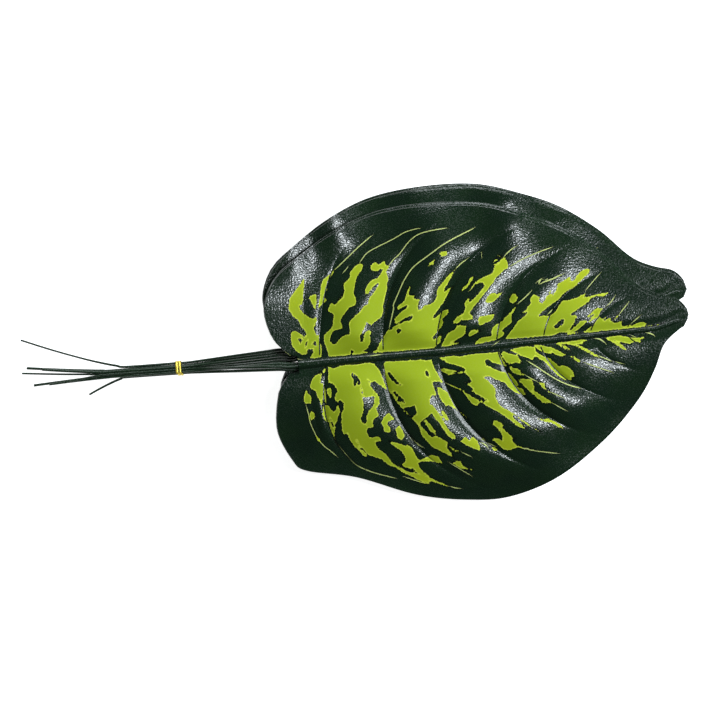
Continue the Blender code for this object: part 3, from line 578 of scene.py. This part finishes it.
# %% The thin lime lines: half width in steps, then the points
LINES = [
    (0.6, [(333.6, 269.5), (344.6, 259), (358, 246), (372, 234)]), (0.7, [(342, 272.4), (348, 265.7)]),
    (0.55, [(358.7, 262.4), (366, 252.5), (377, 246), (393, 238), (405, 231), (420, 227)]),
    (0.6, [(388, 265), (393.5, 258), (399, 253), (410, 239), (423, 231.5), (447, 227)]),
    (0.7, [(388.4, 328), (390.4, 319.3), (393, 308), (392.6, 304.6), (395.3, 298), (401.1, 284.5), (404.5, 277.8),
           (412.5, 266.4), (428, 254.5), (447, 241), (474, 227)]),
    (1.2, [(428.5, 264.2), (433.8, 260)]), (1.0, [(440.5, 256.5), (442.5, 254)]),
    (0.7, [(454.3, 268.8), (460, 263), (467.6, 257.5)]), (0.8, [(468.8, 290.5), (475, 281.8)]),
    (0.7, [(502.9, 256.1), (510, 249.1), (516.5, 244.8)]),
    (0.6, [(508.1, 266.3), (517, 261), (526, 256.3), (540, 250.5), (552, 246.3)]),
    (0.8, [(481, 252), (481, 256)]), (0.7, [(517, 303), (524, 297), (531, 290)]),
    (0.8, [(492.3, 344.8), (498, 340.6)]), (0.9, [(539, 283.5), (544, 280.8), (552, 278.2), (557, 275.5), (563, 273)]),
    (0.8, [(536, 281.4), (541.8, 277.2)]), (0.8, [(546.3, 314.3), (553.4, 307.3)]),
    (0.5, [(584.6, 290), (592, 281), (600, 272)]), (0.6, [(604.9, 306), (610, 301.5), (614.5, 295)]),
    (0.7, [(618.2, 314), (628.1, 301.3)]), (0.6, [(630.2, 323), (640, 314.6)]),
    (0.9, [(593, 337.5), (599.3, 338.5), (605, 342.7)]), (1.0, [(645, 332), (649.5, 332.6), (654, 335)]),
    (0.7, [(630.2, 334.5), (635.1, 336.4)]), (0.6, [(596.7, 354.5), (609.7, 359.8), (623.5, 363.3)]),
    (0.6, [(583.5, 361.8), (599.7, 367.5), (612, 371.5)]),
    (0.7, [(526.7, 360.4), (533.7, 364.6), (544.2, 371.6), (556.8, 379.3), (568, 384.3), (581, 388)]),
    (0.7, [(524.6, 374.4), (531, 378.2), (537, 381)]), (0.6, [(552, 402.5), (559, 406.5), (566, 410.2)]),
    (0.6, [(549, 391.2), (556, 394.2), (563.5, 397.5)]), (0.6, [(516, 445.3), (523, 447.4), (532, 448.7)]),
    (0.9, [(486, 441.8), (495, 446)]), (0.9, [(479.6, 441.8), (484.6, 444), (488, 448)]),
    (0.6, [(461.1, 451.7), (471.3, 456.3)]), (1.0, [(407.5, 433.2), (413, 440.6), (422.3, 447)]),
    (0.6, [(448.2, 485.5), (455, 487.5), (461, 488)]), (0.5, [(503, 443), (530, 449.5), (558, 453)]),
    (0.55, [(366, 470), (380, 474), (396, 478)]), (0.6, [(403, 476), (415, 480), (427, 483.5)]),
    (0.6, [(305.4, 404.1), (308.2, 414.6), (309.8, 422.4), (314.5, 433), (318.7, 440), (324.3, 446.2),
           (330, 450.4), (337, 456.5)]),
    (0.6, [(334.1, 437.8), (335.5, 442), (344.6, 453.2), (352.4, 461.7), (360, 467), (372, 471.5)]),
    (0.5, [(323.2, 383), (324.5, 392), (325.5, 403)]), (0.6, [(444, 381.8), (453, 386), (460, 389)]),
    (0.6, [(368, 355.5), (381.5, 353.5)]), (0.5, [(448.2, 461.8), (462, 470.1), (471.3, 475.7)]),
    (0.5, [(281, 348.5), (288, 354), (294, 357.3), (301, 359)]),
]
print("gaps and lines:", len(GAPS), len(LINES))

# %% From the plan to a blade's own frame
PLAN_STEP = 0.6757
PLAN_FOOT = (292.0, 365.0)
PLAN_TURN = math.radians(6.2)
LINE_STEPS = 4
LINE_TAPER = (-1.0, 4.0)


def on_blade(points):
    """Points of the print's plan in the blade's own frame, in millimetres."""
    across = np.array(points, float) - PLAN_FOOT
    dx, dy = across[:, 0], -across[:, 1]
    return PLAN_STEP * np.stack([dx * math.cos(PLAN_TURN) + dy * math.sin(PLAN_TURN),
                                 dy * math.cos(PLAN_TURN) - dx * math.sin(PLAN_TURN)], axis=1)


def inside(points, outline):
    """How far inside a closed outline each point lies, and less than nothing outside it."""
    closed = np.vstack([outline, outline[:1]])
    away = off_line(points, closed)[0]
    odd = np.zeros(len(points), bool)
    for (ax, ay), (bx, by) in zip(closed, closed[1:]):
        spans = (ay > points[:, 1]) != (by > points[:, 1])
        crossing = ax + (points[:, 1] - ay) * (bx - ax) / ((by - ay) or 1e-9)
        odd ^= spans & (points[:, 0] < crossing)
    return np.where(odd, away, -away)


def print_fields(points):
    """The print at each point: depth inside the splashes, and offset, nearness and width of the lines."""
    depth = np.full(len(points), -FAR_AWAY)
    for outline in SPLASHES:
        depth = np.maximum(depth, inside(points, on_blade(outline)))
    for outline in GAPS:
        depth = np.minimum(depth, -inside(points, on_blade(outline)))
    offset, near = np.full(len(points), FAR_AWAY), np.full(len(points), FAR_AWAY)
    width = np.zeros(len(points))
    for half_width, line in LINES:
        curve = spline(on_blade(line), LINE_STEPS)
        gap, hand = off_line(points, curve)
        ends = np.minimum(np.linalg.norm(points - curve[0], axis=1), np.linalg.norm(points - curve[-1], axis=1))
        nearer = gap < near
        near = np.where(nearer, gap, near)
        offset = np.where(nearer, gap * hand, offset)
        width = np.where(nearer, half_width * PLAN_STEP * smooth(*LINE_TAPER, ends), width)
    return depth, offset, near, width


# %% [markdown]
# A fine sheet is a grid whose lines run out with the veins, so each fold lies exactly on a row of edges and
# stays crisp. The grid is added as a primitive, its corners are moved to their places on the blade, its last
# line is merged into the tip, and the sheet is extruded straight down into a closed shell. The front leaf
# gets a fine grid and the leaves under it, of which only the margins show, get a coarse one.

# %% Stations and rows
FINE_LINES = (20, 34, 34, 44, 34, 32, 24, 24, 18, 22)
COARSE_LINES = (8, 12, 14, 16, 12, 12, 10, 8, 8, 10)
# Lines in each panel, rows from the midrib to the edge, and how many corners a lift is spread over.
GRIDS = {"fine": (FINE_LINES, 64, 4), "coarse": (COARSE_LINES, 28, 2)}
VEIN_CROWDING = 0.55
RIM_SHARE = 0.0085
RIB_ROWS = (0.0, 0.3, 0.6, 0.85, 1.0, 1.35)


def sheet_places(lines, rows):
    """Station and signed row of each grid corner. Rows run from the lower edge through the midrib."""
    steps = [np.arange(count) / count for count in lines]
    steps = [step - VEIN_CROWDING * np.sin(2 * np.pi * step) / (2 * np.pi) for step in steps]
    stations = np.concatenate([panel + step for panel, step in enumerate(steps)])
    stations = np.append(stations[stations < LAST_STATION], TIP_STATION)
    shares = np.append(np.linspace(0, 1, rows), 1.0)
    shares[-2] = 1 - RIM_SHARE
    half = np.concatenate([RIB_ROWS, RIB_ROOM + shares])
    return stations, np.concatenate([-half[:0:-1], half])


def place_on_blade(station, row):
    """The blade's point for each station and signed row, in millimetres."""
    side = np.where(row >= 0, 1, -1)
    x, y = np.zeros(len(row)), np.zeros(len(row))
    feet = (np.interp(station, np.arange(11), [vein[0] for vein in VEINS[1]])
            + np.interp(station, np.arange(11), [vein[0] for vein in VEINS[-1]])) / 2
    for half in (1, -1):
        mine = (side == half) & (np.abs(row) >= RIB_ROOM)
        share = np.clip(np.abs(row[mine]) - RIB_ROOM, 0, 1)
        x[mine], y[mine] = vein_point(half, station[mine], share)
        near = (side == half) & (np.abs(row) < RIB_ROOM)
        foot = np.interp(station[near], np.arange(11), [vein[0] for vein in VEINS[half]])
        toward = np.abs(row[near]) / RIB_ROOM
        foot = feet[near] + (foot - feet[near]) * toward
        x[near] = foot
        y[near] = midrib_y(foot) + row[near] * rib_half_width(foot)
    at_tip = station >= TIP_STATION
    x[at_tip], y[at_tip] = TIP
    return np.stack([x, y], axis=1)


stations, rows = sheet_places(*GRIDS["fine"][:2])
print("front leaf grid:", len(stations), "x", len(rows))

# %% [markdown]
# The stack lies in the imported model's own order, turns and heights. Each sheet is fitted to its node's box.
# Two moulded sheets can't pass through each other, so a sheet is then pressed up wherever it would come
# closer than a hair to the finer relief of the one below.

# %% Sheets in their places
SHEET = 0.9
RIM_ROUND = 0.4
AIR = 0.12
BARE_RIB = 1.1
ABOVE_ALL = 200.0
TURNS = (6.2, 6.35, 6.3, 8.9, 9.15, 8.9, 9.0, 9.1)
FEET = ((0, 0), (0.6, 1.7), (-0.4, 0.4), (0.8, 7.0), (0.6, 8.3), (1.4, 7.2), (0.4, 7.9), (1.0, 7.1))


def turned(points, turn, foot):
    angle = math.radians(turn)
    x, y = points[:, 0], points[:, 1]
    return np.stack([foot[0] + x * math.cos(angle) - y * math.sin(angle),
                     foot[1] + x * math.sin(angle) + y * math.cos(angle)], axis=1)


def sheet_grid(name, lines, rows):
    """A grid primitive with one corner for each station and row."""
    stations, row_places = sheet_places(lines, rows)
    bpy.ops.object.select_all(action="DESELECT")
    bpy.ops.mesh.primitive_grid_add(x_subdivisions=len(stations) - 1, y_subdivisions=len(row_places) - 1, size=2)
    sheet = bpy.context.object
    sheet.name = sheet.data.name = name
    corners = np.zeros(len(sheet.data.vertices) * 3)
    sheet.data.vertices.foreach_get("co", corners)
    corners = corners.reshape(-1, 3)
    across = np.rint((corners[:, 0] + 1) / 2 * (len(stations) - 1)).astype(int)
    along = np.rint((corners[:, 1] + 1) / 2 * (len(row_places) - 1)).astype(int)
    return sheet, stations[across], row_places[along]


def off_vein(points, station):
    """Distance of each point from the nearest fold."""
    panel = np.minimum(station.astype(int), LAST_PANEL)
    far = np.zeros(len(points))
    for side in (1, -1):
        half_of = np.flatnonzero(np.where(points[:, 1] >= midrib_y(points[:, 0]), 1, -1) == side)
        far[half_of] = off_fold(off_veins(points[half_of], side), panel[half_of])
    return far


plans = {}
for grain, (lines, row_count, _) in GRIDS.items():
    sheet, station, row = sheet_grid("plan_" + grain, lines, row_count)
    flat = place_on_blade(station, row)
    depth, offset, near, width = print_fields(flat)
    off_rib = np.abs(flat[:, 1] - midrib_y(flat[:, 0]))
    depth = np.minimum(depth, off_rib - rib_half_width(flat[:, 0]) * BARE_RIB)
    plans[grain] = {"station": station, "row": row, "flat": flat, "splash": depth, "offset": offset,
                    "near": near, "width": width, "vein": off_vein(flat, station)}
    bpy.data.objects.remove(sheet, do_unlink=True)
    print(grain, "plan corners:", len(flat), "in lime:", int((depth > 0).sum()))

# %% Building one leaf
def write_attribute(mesh, name, values):
    stored = mesh.attributes.new(name, "FLOAT", "POINT")
    stored.data.foreach_set("value", np.asarray(values, np.float32))


def fit_to_box(places, low, high):
    """Moves a plan into its node's box, and never lets it reach past it. Also returns how far it moved."""
    own_low, own_high = places.min(axis=0), places.max(axis=0)
    shrink = np.minimum(1, (high - low)[:2] / (own_high - own_low))
    middle, own_middle = (low + high)[:2] / 2, (own_low + own_high) / 2
    return middle + (places - own_middle) * shrink, middle - own_middle


def close_shell(sheet):
    """Merges the tip, and extrudes the sheet straight down for its thickness."""
    bpy.ops.object.select_all(action="DESELECT")
    sheet.select_set(True)
    bpy.context.view_layer.objects.active = sheet
    bpy.ops.object.mode_set(mode="EDIT")
    bpy.ops.mesh.select_all(action="SELECT")
    bpy.ops.mesh.remove_doubles(threshold=0.01 * MM)
    bpy.ops.object.mode_set(mode="OBJECT")
    upper_corners = len(sheet.data.vertices)
    bpy.ops.object.mode_set(mode="EDIT")
    bpy.ops.mesh.select_all(action="SELECT")
    bpy.ops.mesh.extrude_region_move(TRANSFORM_OT_translate={"value": (0, 0, -SHEET * MM)})
    bpy.ops.mesh.select_all(action="SELECT")
    bpy.ops.mesh.normals_make_consistent(inside=False)
    bpy.ops.object.mode_set(mode="OBJECT")
    return upper_corners


def round_rim(mesh, upper_corners, reach):
    """Draws both faces together along the rim, which leaves it softly rounded."""
    row = np.zeros(len(mesh.vertices))
    mesh.attributes["row"].data.foreach_get("value", row)
    for index in np.flatnonzero(np.abs(row) > reach - 1e-4):
        mesh.vertices[index].co.z += (-RIM_ROUND if index < upper_corners else RIM_ROUND) * MM


def spread(need, count, reach):
    """A soft lift that is never less than what is needed: the most within reach, then evened out."""
    lift = need.reshape(-1, count)
    for _ in range(2 * reach):
        padded = np.pad(lift, 1, mode="edge")
        lift = np.max([padded[1:-1, 1:-1], padded[:-2, 1:-1], padded[2:, 1:-1], padded[1:-1, :-2],
                       padded[1:-1, 2:]], axis=0)
    for _ in range(2 * reach):
        padded = np.pad(lift, 1, mode="edge")
        lift = np.mean([padded[1:-1, 1:-1], padded[:-2, 1:-1], padded[2:, 1:-1], padded[1:-1, :-2],
                        padded[1:-1, 2:]], axis=0)
    return lift.ravel()


def upper_face(tree, x, y):
    """The point of a sheet's upper face at x and y, or None beside the sheet."""
    return tree.ray_cast(Vector((x, y, ABOVE_ALL)), Vector((0, 0, -1)))[0]


def make_leaf(number, below):
    """One leaf's blade, on top of the sheet below it."""
    grain = "fine" if number == 1 else "coarse"
    plan = plans[grain]
    lines, row_count, reach = GRIDS[grain]
    sheet, station, row = sheet_grid(f"leaf_{number}", lines, row_count)
    low, high = (np.array(corner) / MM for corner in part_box(f"blade_{number}"))
    places, shift = fit_to_box(turned(plan["flat"], TURNS[number - 1], FEET[number - 1]), low, high)
    heights = blade_height(plan["flat"], plan["station"], 8 - number)
    heights += high[2] - heights.max()
    heights = np.maximum(heights, low[2] + SHEET)
    if below is not None:
        hits = [upper_face(below, x, y) for x, y in places]
        need = np.array([0 if hit is None else hit.z + SHEET + AIR - z for hit, z in zip(hits, heights)])
        print("most that it is pressed up, in mm:", round(need.max(), 2))
        heights += spread(np.maximum(need, 0), len(np.unique(station)), reach)
        heights = np.minimum(heights, high[2])
    spots = np.column_stack([places, heights])
    mesh = sheet.data
    tree = BVHTree.FromPolygons([tuple(spot) for spot in spots], [tuple(face.vertices) for face in mesh.polygons])
    mesh.vertices.foreach_set("co", (spots * MM).ravel())
    for name in ("splash", "offset", "near", "width", "vein", "station", "row"):
        write_attribute(mesh, name, plan[name])
    loops = np.zeros(len(mesh.loops), int)
    mesh.loops.foreach_get("vertex_index", loops)
    mesh.uv_layers.active.data.foreach_set("uv", np.column_stack([station[loops] / 10, row[loops] / 3]).ravel())
    upper_corners = close_shell(sheet)
    round_rim(mesh, upper_corners, row.max())
    facing_up = np.array([max(face.vertices) < upper_corners for face in mesh.polygons])
    bpy.ops.object.shade_smooth_by_angle(angle=math.radians(40))
    mesh.materials.clear()
    mesh.materials.append(marked_leaf.material)
    mesh.materials.append(leaf_back.material)
    mesh.polygons.foreach_set("material_index", np.where(facing_up, 0, 1))
    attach(sheet, "root")
    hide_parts(f"blade_{number}")
    print(sheet.name, "faces:", len(mesh.polygons), "facing up:", int(facing_up.sum()))
    return tree, shift


# %% [markdown]
# The leaf's finish: dark green satin plastic with a fine leather grain that breaks the sheen into specks,
# and duller lime splashes with a pale rim and a black outline where the two inks meet. Two sizes of noise are
# added to the depth inside a splash, which makes its edge ragged. In each fold the lime gives way to dark green:
# this is painted shade, for the crease lying in shadow.

# %% The printed upper face
DARK = (0.0045, 0.0150, 0.0070, 1)
DARK_WARM = (0.006, 0.019, 0.007, 1)
LIME = (0.395, 0.480, 0.0, 1)
LIME_DEEP = (0.300, 0.400, 0.0, 1)
LIME_RIM = (0.58, 0.68, 0.04, 1)
LINE_TONE = (0.50, 0.58, 0.18, 1)
INK = (0.0010, 0.0030, 0.0010, 1)

marked_leaf = Finish("marked_leaf")
depth = marked_leaf.attribute("splash")
rag = (marked_leaf.noise(900.0, 2.0) - 0.5) * 1.5 + (marked_leaf.noise(260.0, 2.0) - 0.5) * 0.9
depth = depth + rag
line_gap = marked_leaf.attribute("width") * 0.75 - marked_leaf.attribute("offset").sum("ABSOLUTE")
line_gap = line_gap - marked_leaf.attribute("near").ramp(1.2, 2.0) * 4.0
nearest_print = depth.sum("MAXIMUM", line_gap)
lime = nearest_print.ramp(-0.12, 0.12)
core = depth.ramp(0.15, 0.85)
outline = nearest_print.ramp(-1.0, -0.25)
from_rib = marked_leaf.attribute("row").sum("ABSOLUTE").ramp(1.9, 2.5)
mottle = marked_leaf.noise(55.0, 3.0).ramp(0.3, 0.7)
dark_tone = marked_leaf.blend(mottle, DARK, DARK_WARM)
dark_tone = marked_leaf.blend(outline * 0.85, dark_tone, INK)
lime_tone = marked_leaf.blend(from_rib * (0.7 + 0.3 * mottle), LIME_DEEP, LIME)
lime_tone = marked_leaf.blend(core, LIME_RIM, lime_tone)
lime_tone = marked_leaf.blend(depth.ramp(-1.0, -0.4), LINE_TONE, lime_tone)
row = marked_leaf.attribute("row").sum("ABSOLUTE")
# Painted shade: along each fold near the midrib the lime is taken out, so the crease shows dark green.
painted_fold_shade = marked_leaf.attribute("vein").ramp(0.62, 0.3) * row.ramp(2.45, 2.25)
lime = lime * (1.0 - painted_fold_shade)
marked_leaf.set(Base_Color=marked_leaf.blend(lime, dark_tone, lime_tone))
speck = marked_leaf.noise(1250.0, 0.0).ramp(0.40, 0.60)
marked_leaf.set(Roughness=speck * 0.16 + 0.13 + lime * 0.60)
marked_leaf.shader.inputs["IOR"].default_value = 1.47
grain = marked_leaf.noise(1000.0, 0.0)
marked_leaf.set(Normal=marked_leaf.bump(grain * (1.0 - lime * 0.9), 0.00011, 1.0))

# %% The plain underside
leaf_back = Finish("leaf_back")
back_mottle = leaf_back.noise(80.0, 4.0).ramp(0.3, 0.7)
leaf_back.set(Base_Color=leaf_back.blend(back_mottle, (0.016, 0.040, 0.018, 1), (0.024, 0.055, 0.024, 1)),
              Roughness=leaf_back.noise(700.0, 1.0) * 0.15 + 0.42,
              Normal=leaf_back.bump(leaf_back.noise(1300.0, 2.0), 0.0003, 0.5))

# %% Finishes of the wires and the tie
coating = Finish("wire_coating")
coating.set(Base_Color=coating.blend(coating.noise(240.0, 3.0), (0.008, 0.021, 0.010, 1), (0.018, 0.040, 0.019, 1)),
            Roughness=coating.noise(500.0, 1.0) * 0.15 + 0.20,
            Normal=coating.bump(coating.noise(900.0, 2.0), 0.0001, 0.4))
cut_steel = Finish("cut_steel")
cut_steel.set(Base_Color=cut_steel.blend(cut_steel.noise(2500.0), (0.30, 0.31, 0.32, 1), (0.50, 0.51, 0.52, 1)),
              Roughness=cut_steel.noise(3000.0) * 0.2 + 0.35, Metallic=0.7)
foil = Finish("gold_foil")
foil.set(Base_Color=foil.blend(foil.noise(700.0, 2.0), (0.66, 0.48, 0.03, 1), (0.86, 0.70, 0.10, 1)),
         Roughness=foil.noise(900.0, 1.0) * 0.2 + 0.16, Metallic=0.4,
         Normal=foil.bump(foil.noise(1600.0, 2.0), 0.0001, 0.5))

# %% The stack, from the lowest leaf up
trees, shifts = {}, {}
for number in range(8, 0, -1):
    trees[number], shifts[number] = make_leaf(number, trees.get(number + 1))
print("the leaves' frame starts at, in mm:", shifts[1].round(2))

# %% [markdown]
# Every leaf hangs on a wire with a dark green plastic coat. The wire lies in the groove under the midrib, runs
# out at the notch, passes through the tie and ends at its own cut, where the steel shows light grey. No primitive
# follows such a route, so a section is swept along it in code: ring after ring, joined and capped.

# %% A section swept along a route
def sweep(name, route, widths, thicknesses, across, sides=12):
    """A closed tube with elliptic rings, whose width lies along the direction across."""
    route = np.array(route, float)
    way = np.gradient(route, axis=0)
    way /= np.linalg.norm(way, axis=1)[:, None]
    side = np.array(across, float) - (way @ np.array(across, float))[:, None] * way
    side /= np.linalg.norm(side, axis=1)[:, None]
    up = np.cross(way, side)
    angles = np.linspace(0, 2 * math.pi, sides, endpoint=False)
    rings = (route[:, None] + np.cos(angles)[:, None] * (side * np.array(widths)[:, None] / 2)[:, None]
             + np.sin(angles)[:, None] * (up * np.array(thicknesses)[:, None] / 2)[:, None])
    faces = [(ring * sides + a, ring * sides + (a + 1) % sides, (ring + 1) * sides + (a + 1) % sides,
              (ring + 1) * sides + a) for ring in range(len(route) - 1) for a in range(sides)]
    last = (len(route) - 1) * sides
    faces += [tuple(range(sides))[::-1], tuple(range(last, last + sides))]
    mesh = bpy.data.meshes.new(name)
    mesh.from_pydata((rings.reshape(-1, 3) * MM).tolist(), [], faces)
    piece = bpy.data.objects.new(name, mesh)
    bpy.context.scene.collection.objects.link(piece)
    run = np.concatenate([[0], np.cumsum(np.linalg.norm(np.diff(route, axis=0), axis=1))])
    write_attribute(mesh, "run", np.repeat(run, sides))
    write_attribute(mesh, "round", np.tile(angles, len(route)))
    bpy.ops.object.select_all(action="DESELECT")
    piece.select_set(True)
    bpy.context.view_layer.objects.active = piece
    bpy.ops.object.mode_set(mode="EDIT")
    bpy.ops.mesh.select_all(action="SELECT")
    bpy.ops.mesh.normals_make_consistent(inside=False)
    bpy.ops.object.mode_set(mode="OBJECT")
    bpy.ops.object.shade_smooth_by_angle(angle=math.radians(50))
    return piece


# %% The tied bundle
TIE_AT = (-76.4, -1.7)
BUNDLE_TURN = math.radians(4.1)
PITCH, ROW_RISE = 1.75, 1.52
TIE_RADIUS, TIE_GAP = 0.55, 0.4
WIRE, WIRE_CORE = 1.72, 0.7
# Each wire's place in the tie, its distance beside the front midrib at the notch, its cut end (along the
# bundle, across it, height), where it leaves the bundle, and its thickness at the cut.
WIRES = [
    ((-0.5, 1), -0.7, (-77.5, -3.8, 5.4), -50.0, 1.3), ((-1.5, 1), 1.3, (-89.0, -4.7, 3.4), -44.0, 1.5),
    ((-2.0, 0), -2.6, (-62.5, -13.5, 1.6), -37.0, 1.3), ((0.5, 1), 6.9, (-93.0, 5.7, 3.4), -50.0, 1.8),
    ((2.0, 0), 10.7, (-106.2, 26.6, 2.5), -36.0, 1.3), ((1.0, 0), 8.8, (-103.5, 7.4, 1.0), -46.0, 1.8),
    ((0.0, 0), 5.0, (-107.0, 4.1, 0.8), -56.0, 1.3), ((-1.0, 0), 3.2, (-99.5, -4.6, 1.0), -46.0, 1.8),
]


def bundle_point(along, across, up):
    """A point given along the bundle from the tie, across it and above its lower row."""
    return (TIE_AT[0] + along * math.cos(BUNDLE_TURN) - across * math.sin(BUNDLE_TURN) + shifts[1][0],
            TIE_AT[1] + along * math.sin(BUNDLE_TURN) + across * math.cos(BUNDLE_TURN) + shifts[1][1],
            bundle_height + up)


def round_the_bundle(angle, reach):
    """Where a loop at this distance from the wires' centres passes round them."""
    slots = np.array([wire[0] for wire in WIRES]) * (PITCH, ROW_RISE)
    far = slots[np.argmax(slots @ (math.cos(angle), math.sin(angle)))]
    return far[0] + reach * math.cos(angle), far[1] + reach * math.sin(angle)


tie_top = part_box("twist_tie")[1][2] / MM
loop_reach = WIRE_CORE + TIE_GAP + TIE_RADIUS
bundle_height = tie_top - TIE_RADIUS - round_the_bundle(math.pi / 2, loop_reach)[1]
print("height of the bundle's lower row in mm:", round(bundle_height, 2))

# %% The eight wires
GROOVE_START = 7.0
GROOVE_STOPS = (170, 145, 120, 95, 70, 45, 28, 18)
GLUE = 0.25
NOTCH = 9.0
TO_THE_TIE = (0.0, 0.15, 0.32, 0.5, 0.68, 0.85, 1.0)
TO_THE_CUT = (0, 0.1, 0.22, 0.4, 0.7, 1)
HELD = (6.0, -5.0)


def in_groove(number, x):
    """The wire's centre line under its own leaf's midrib."""
    spot = turned(np.array([[x, midrib_y(x)]]), TURNS[number - 1], FEET[number - 1])[0] + shifts[number]
    x = max(x, GROOVE_START)
    look = turned(np.array([[x, midrib_y(x)]]), TURNS[number - 1], FEET[number - 1])[0] + shifts[number]
    return (*spot, upper_face(trees[number], *look).z - SHEET - GLUE - WIRE / 2)


def wire_route(number):
    slot, beside, (end_along, end_across, end_z), leaves_at, _ = WIRES[number - 1]
    across, up = slot[0] * PITCH, slot[1] * ROW_RISE
    points = [in_groove(number, x) for x in GROOVE_STOPS]
    out = in_groove(number, -NOTCH)
    notch = np.array([shifts[1][0] - NOTCH, shifts[1][1] + beside, out[2]])
    points.append((notch[0] + 10.5, 0.92 * notch[1] + 0.08 * in_groove(number, 0.0)[1], out[2] - 0.4))
    held = np.array(bundle_point(HELD[0], across, up))
    for share in TO_THE_TIE:
        spot = notch + (held - notch) * share
        spot[2] = notch[2] + (held[2] - notch[2]) * smooth(0.05, 1.0, share)
        points.append(tuple(spot))
    for along in (HELD[1], *(leaves_at + (end_along - leaves_at) * share for share in TO_THE_CUT)):
        part = max(0.0, (along - leaves_at) / (end_along - leaves_at)) ** 1.25
        drop = (along - HELD[1]) / (end_along - HELD[1])
        points.append(bundle_point(along, across + (end_across - across) * part,
                                   up + (end_z - bundle_height - up) * drop))
    return spline(points, 6)


for number in range(1, 9):
    route = wire_route(number)
    x = route[:, 0] - shifts[1][0]
    thick = WIRE + 0.45 * smooth(-66.0, -30.0, x) * (1 - smooth(-3.0, 12.0, x)) - 0.3 * smooth(4.0, 18.0, x)
    thick += (WIRES[number - 1][4] - WIRE) * smooth(-110.0, -150.0, x)
    wire = sweep(f"wire_{number}", route, thick, thick, (0, 1, 0), 14)
    wire.data.materials.append(coating.material)
    wire.data.materials.append(cut_steel.material)
    wire.data.polygons[len(wire.data.polygons) - 1].material_index = 1
    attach(wire, "root")
    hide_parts(f"stem_{number}")
    print(wire.name, "rings:", len(route))

# %% [markdown]
# The tie is a strip of gold foil over a thin wire. It goes twice round the bundle as a flat band, and its two
# ends are twisted together underneath.

# %% The tie's band and its twisted ends
BAND_TURNS, BAND_STEPS, BAND_PITCH = 2, 97, 2.0
BAND_WIDTH, BAND_THICKNESS = 1.6, 0.5
BAND_MIDDLE, BAND_BOW = 0.4, 1.5
BAND_REACH, BAND_LAYER = 1.2, 0.12
STRAND, STRAND_STEPS, STRAND_LENGTH = 0.75, 46, 14.5
TWIST_RADIUS, TWIST = 0.5, 10

turns = np.linspace(0, BAND_TURNS, BAND_STEPS)
angles = -math.pi / 2 + 2 * math.pi * turns
band = [bundle_point(BAND_MIDDLE + (turn - 1) * BAND_PITCH - BAND_BOW * abs(math.sin(angle)),
                     *round_the_bundle(angle, BAND_REACH + BAND_LAYER * turn)) for turn, angle in zip(turns, angles)]
band = spline(band, 2)
axis = (math.cos(BUNDLE_TURN), math.sin(BUNDLE_TURN), 0)
pieces = [sweep("tie", band, np.full(len(band), BAND_WIDTH), np.full(len(band), BAND_THICKNESS), axis)]
low = round_the_bundle(-math.pi / 2, BAND_REACH)[1]
for phase in (0.0, math.pi):
    strand = []
    for step in np.linspace(0, 1, STRAND_STEPS):
        angle = TWIST * step + phase
        strand.append(bundle_point(-1.0 - STRAND_LENGTH * step, TWIST_RADIUS * math.cos(angle),
                                   low - TWIST_RADIUS * smooth(0, 0.15, step) + TWIST_RADIUS * math.sin(angle)))
    thick = np.full(STRAND_STEPS, STRAND)
    pieces.append(sweep("tie_end", strand, thick, thick, (0, 1, 0), 8))
bpy.ops.object.select_all(action="DESELECT")
for piece in pieces:
    piece.select_set(True)
bpy.context.view_layer.objects.active = pieces[0]
bpy.ops.object.join()
tie = bpy.context.object
tie.data.materials.clear()
tie.data.materials.append(foil.material)
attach(tie, "root")
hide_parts("twist_tie")
print("tie faces:", len(tie.data.polygons))
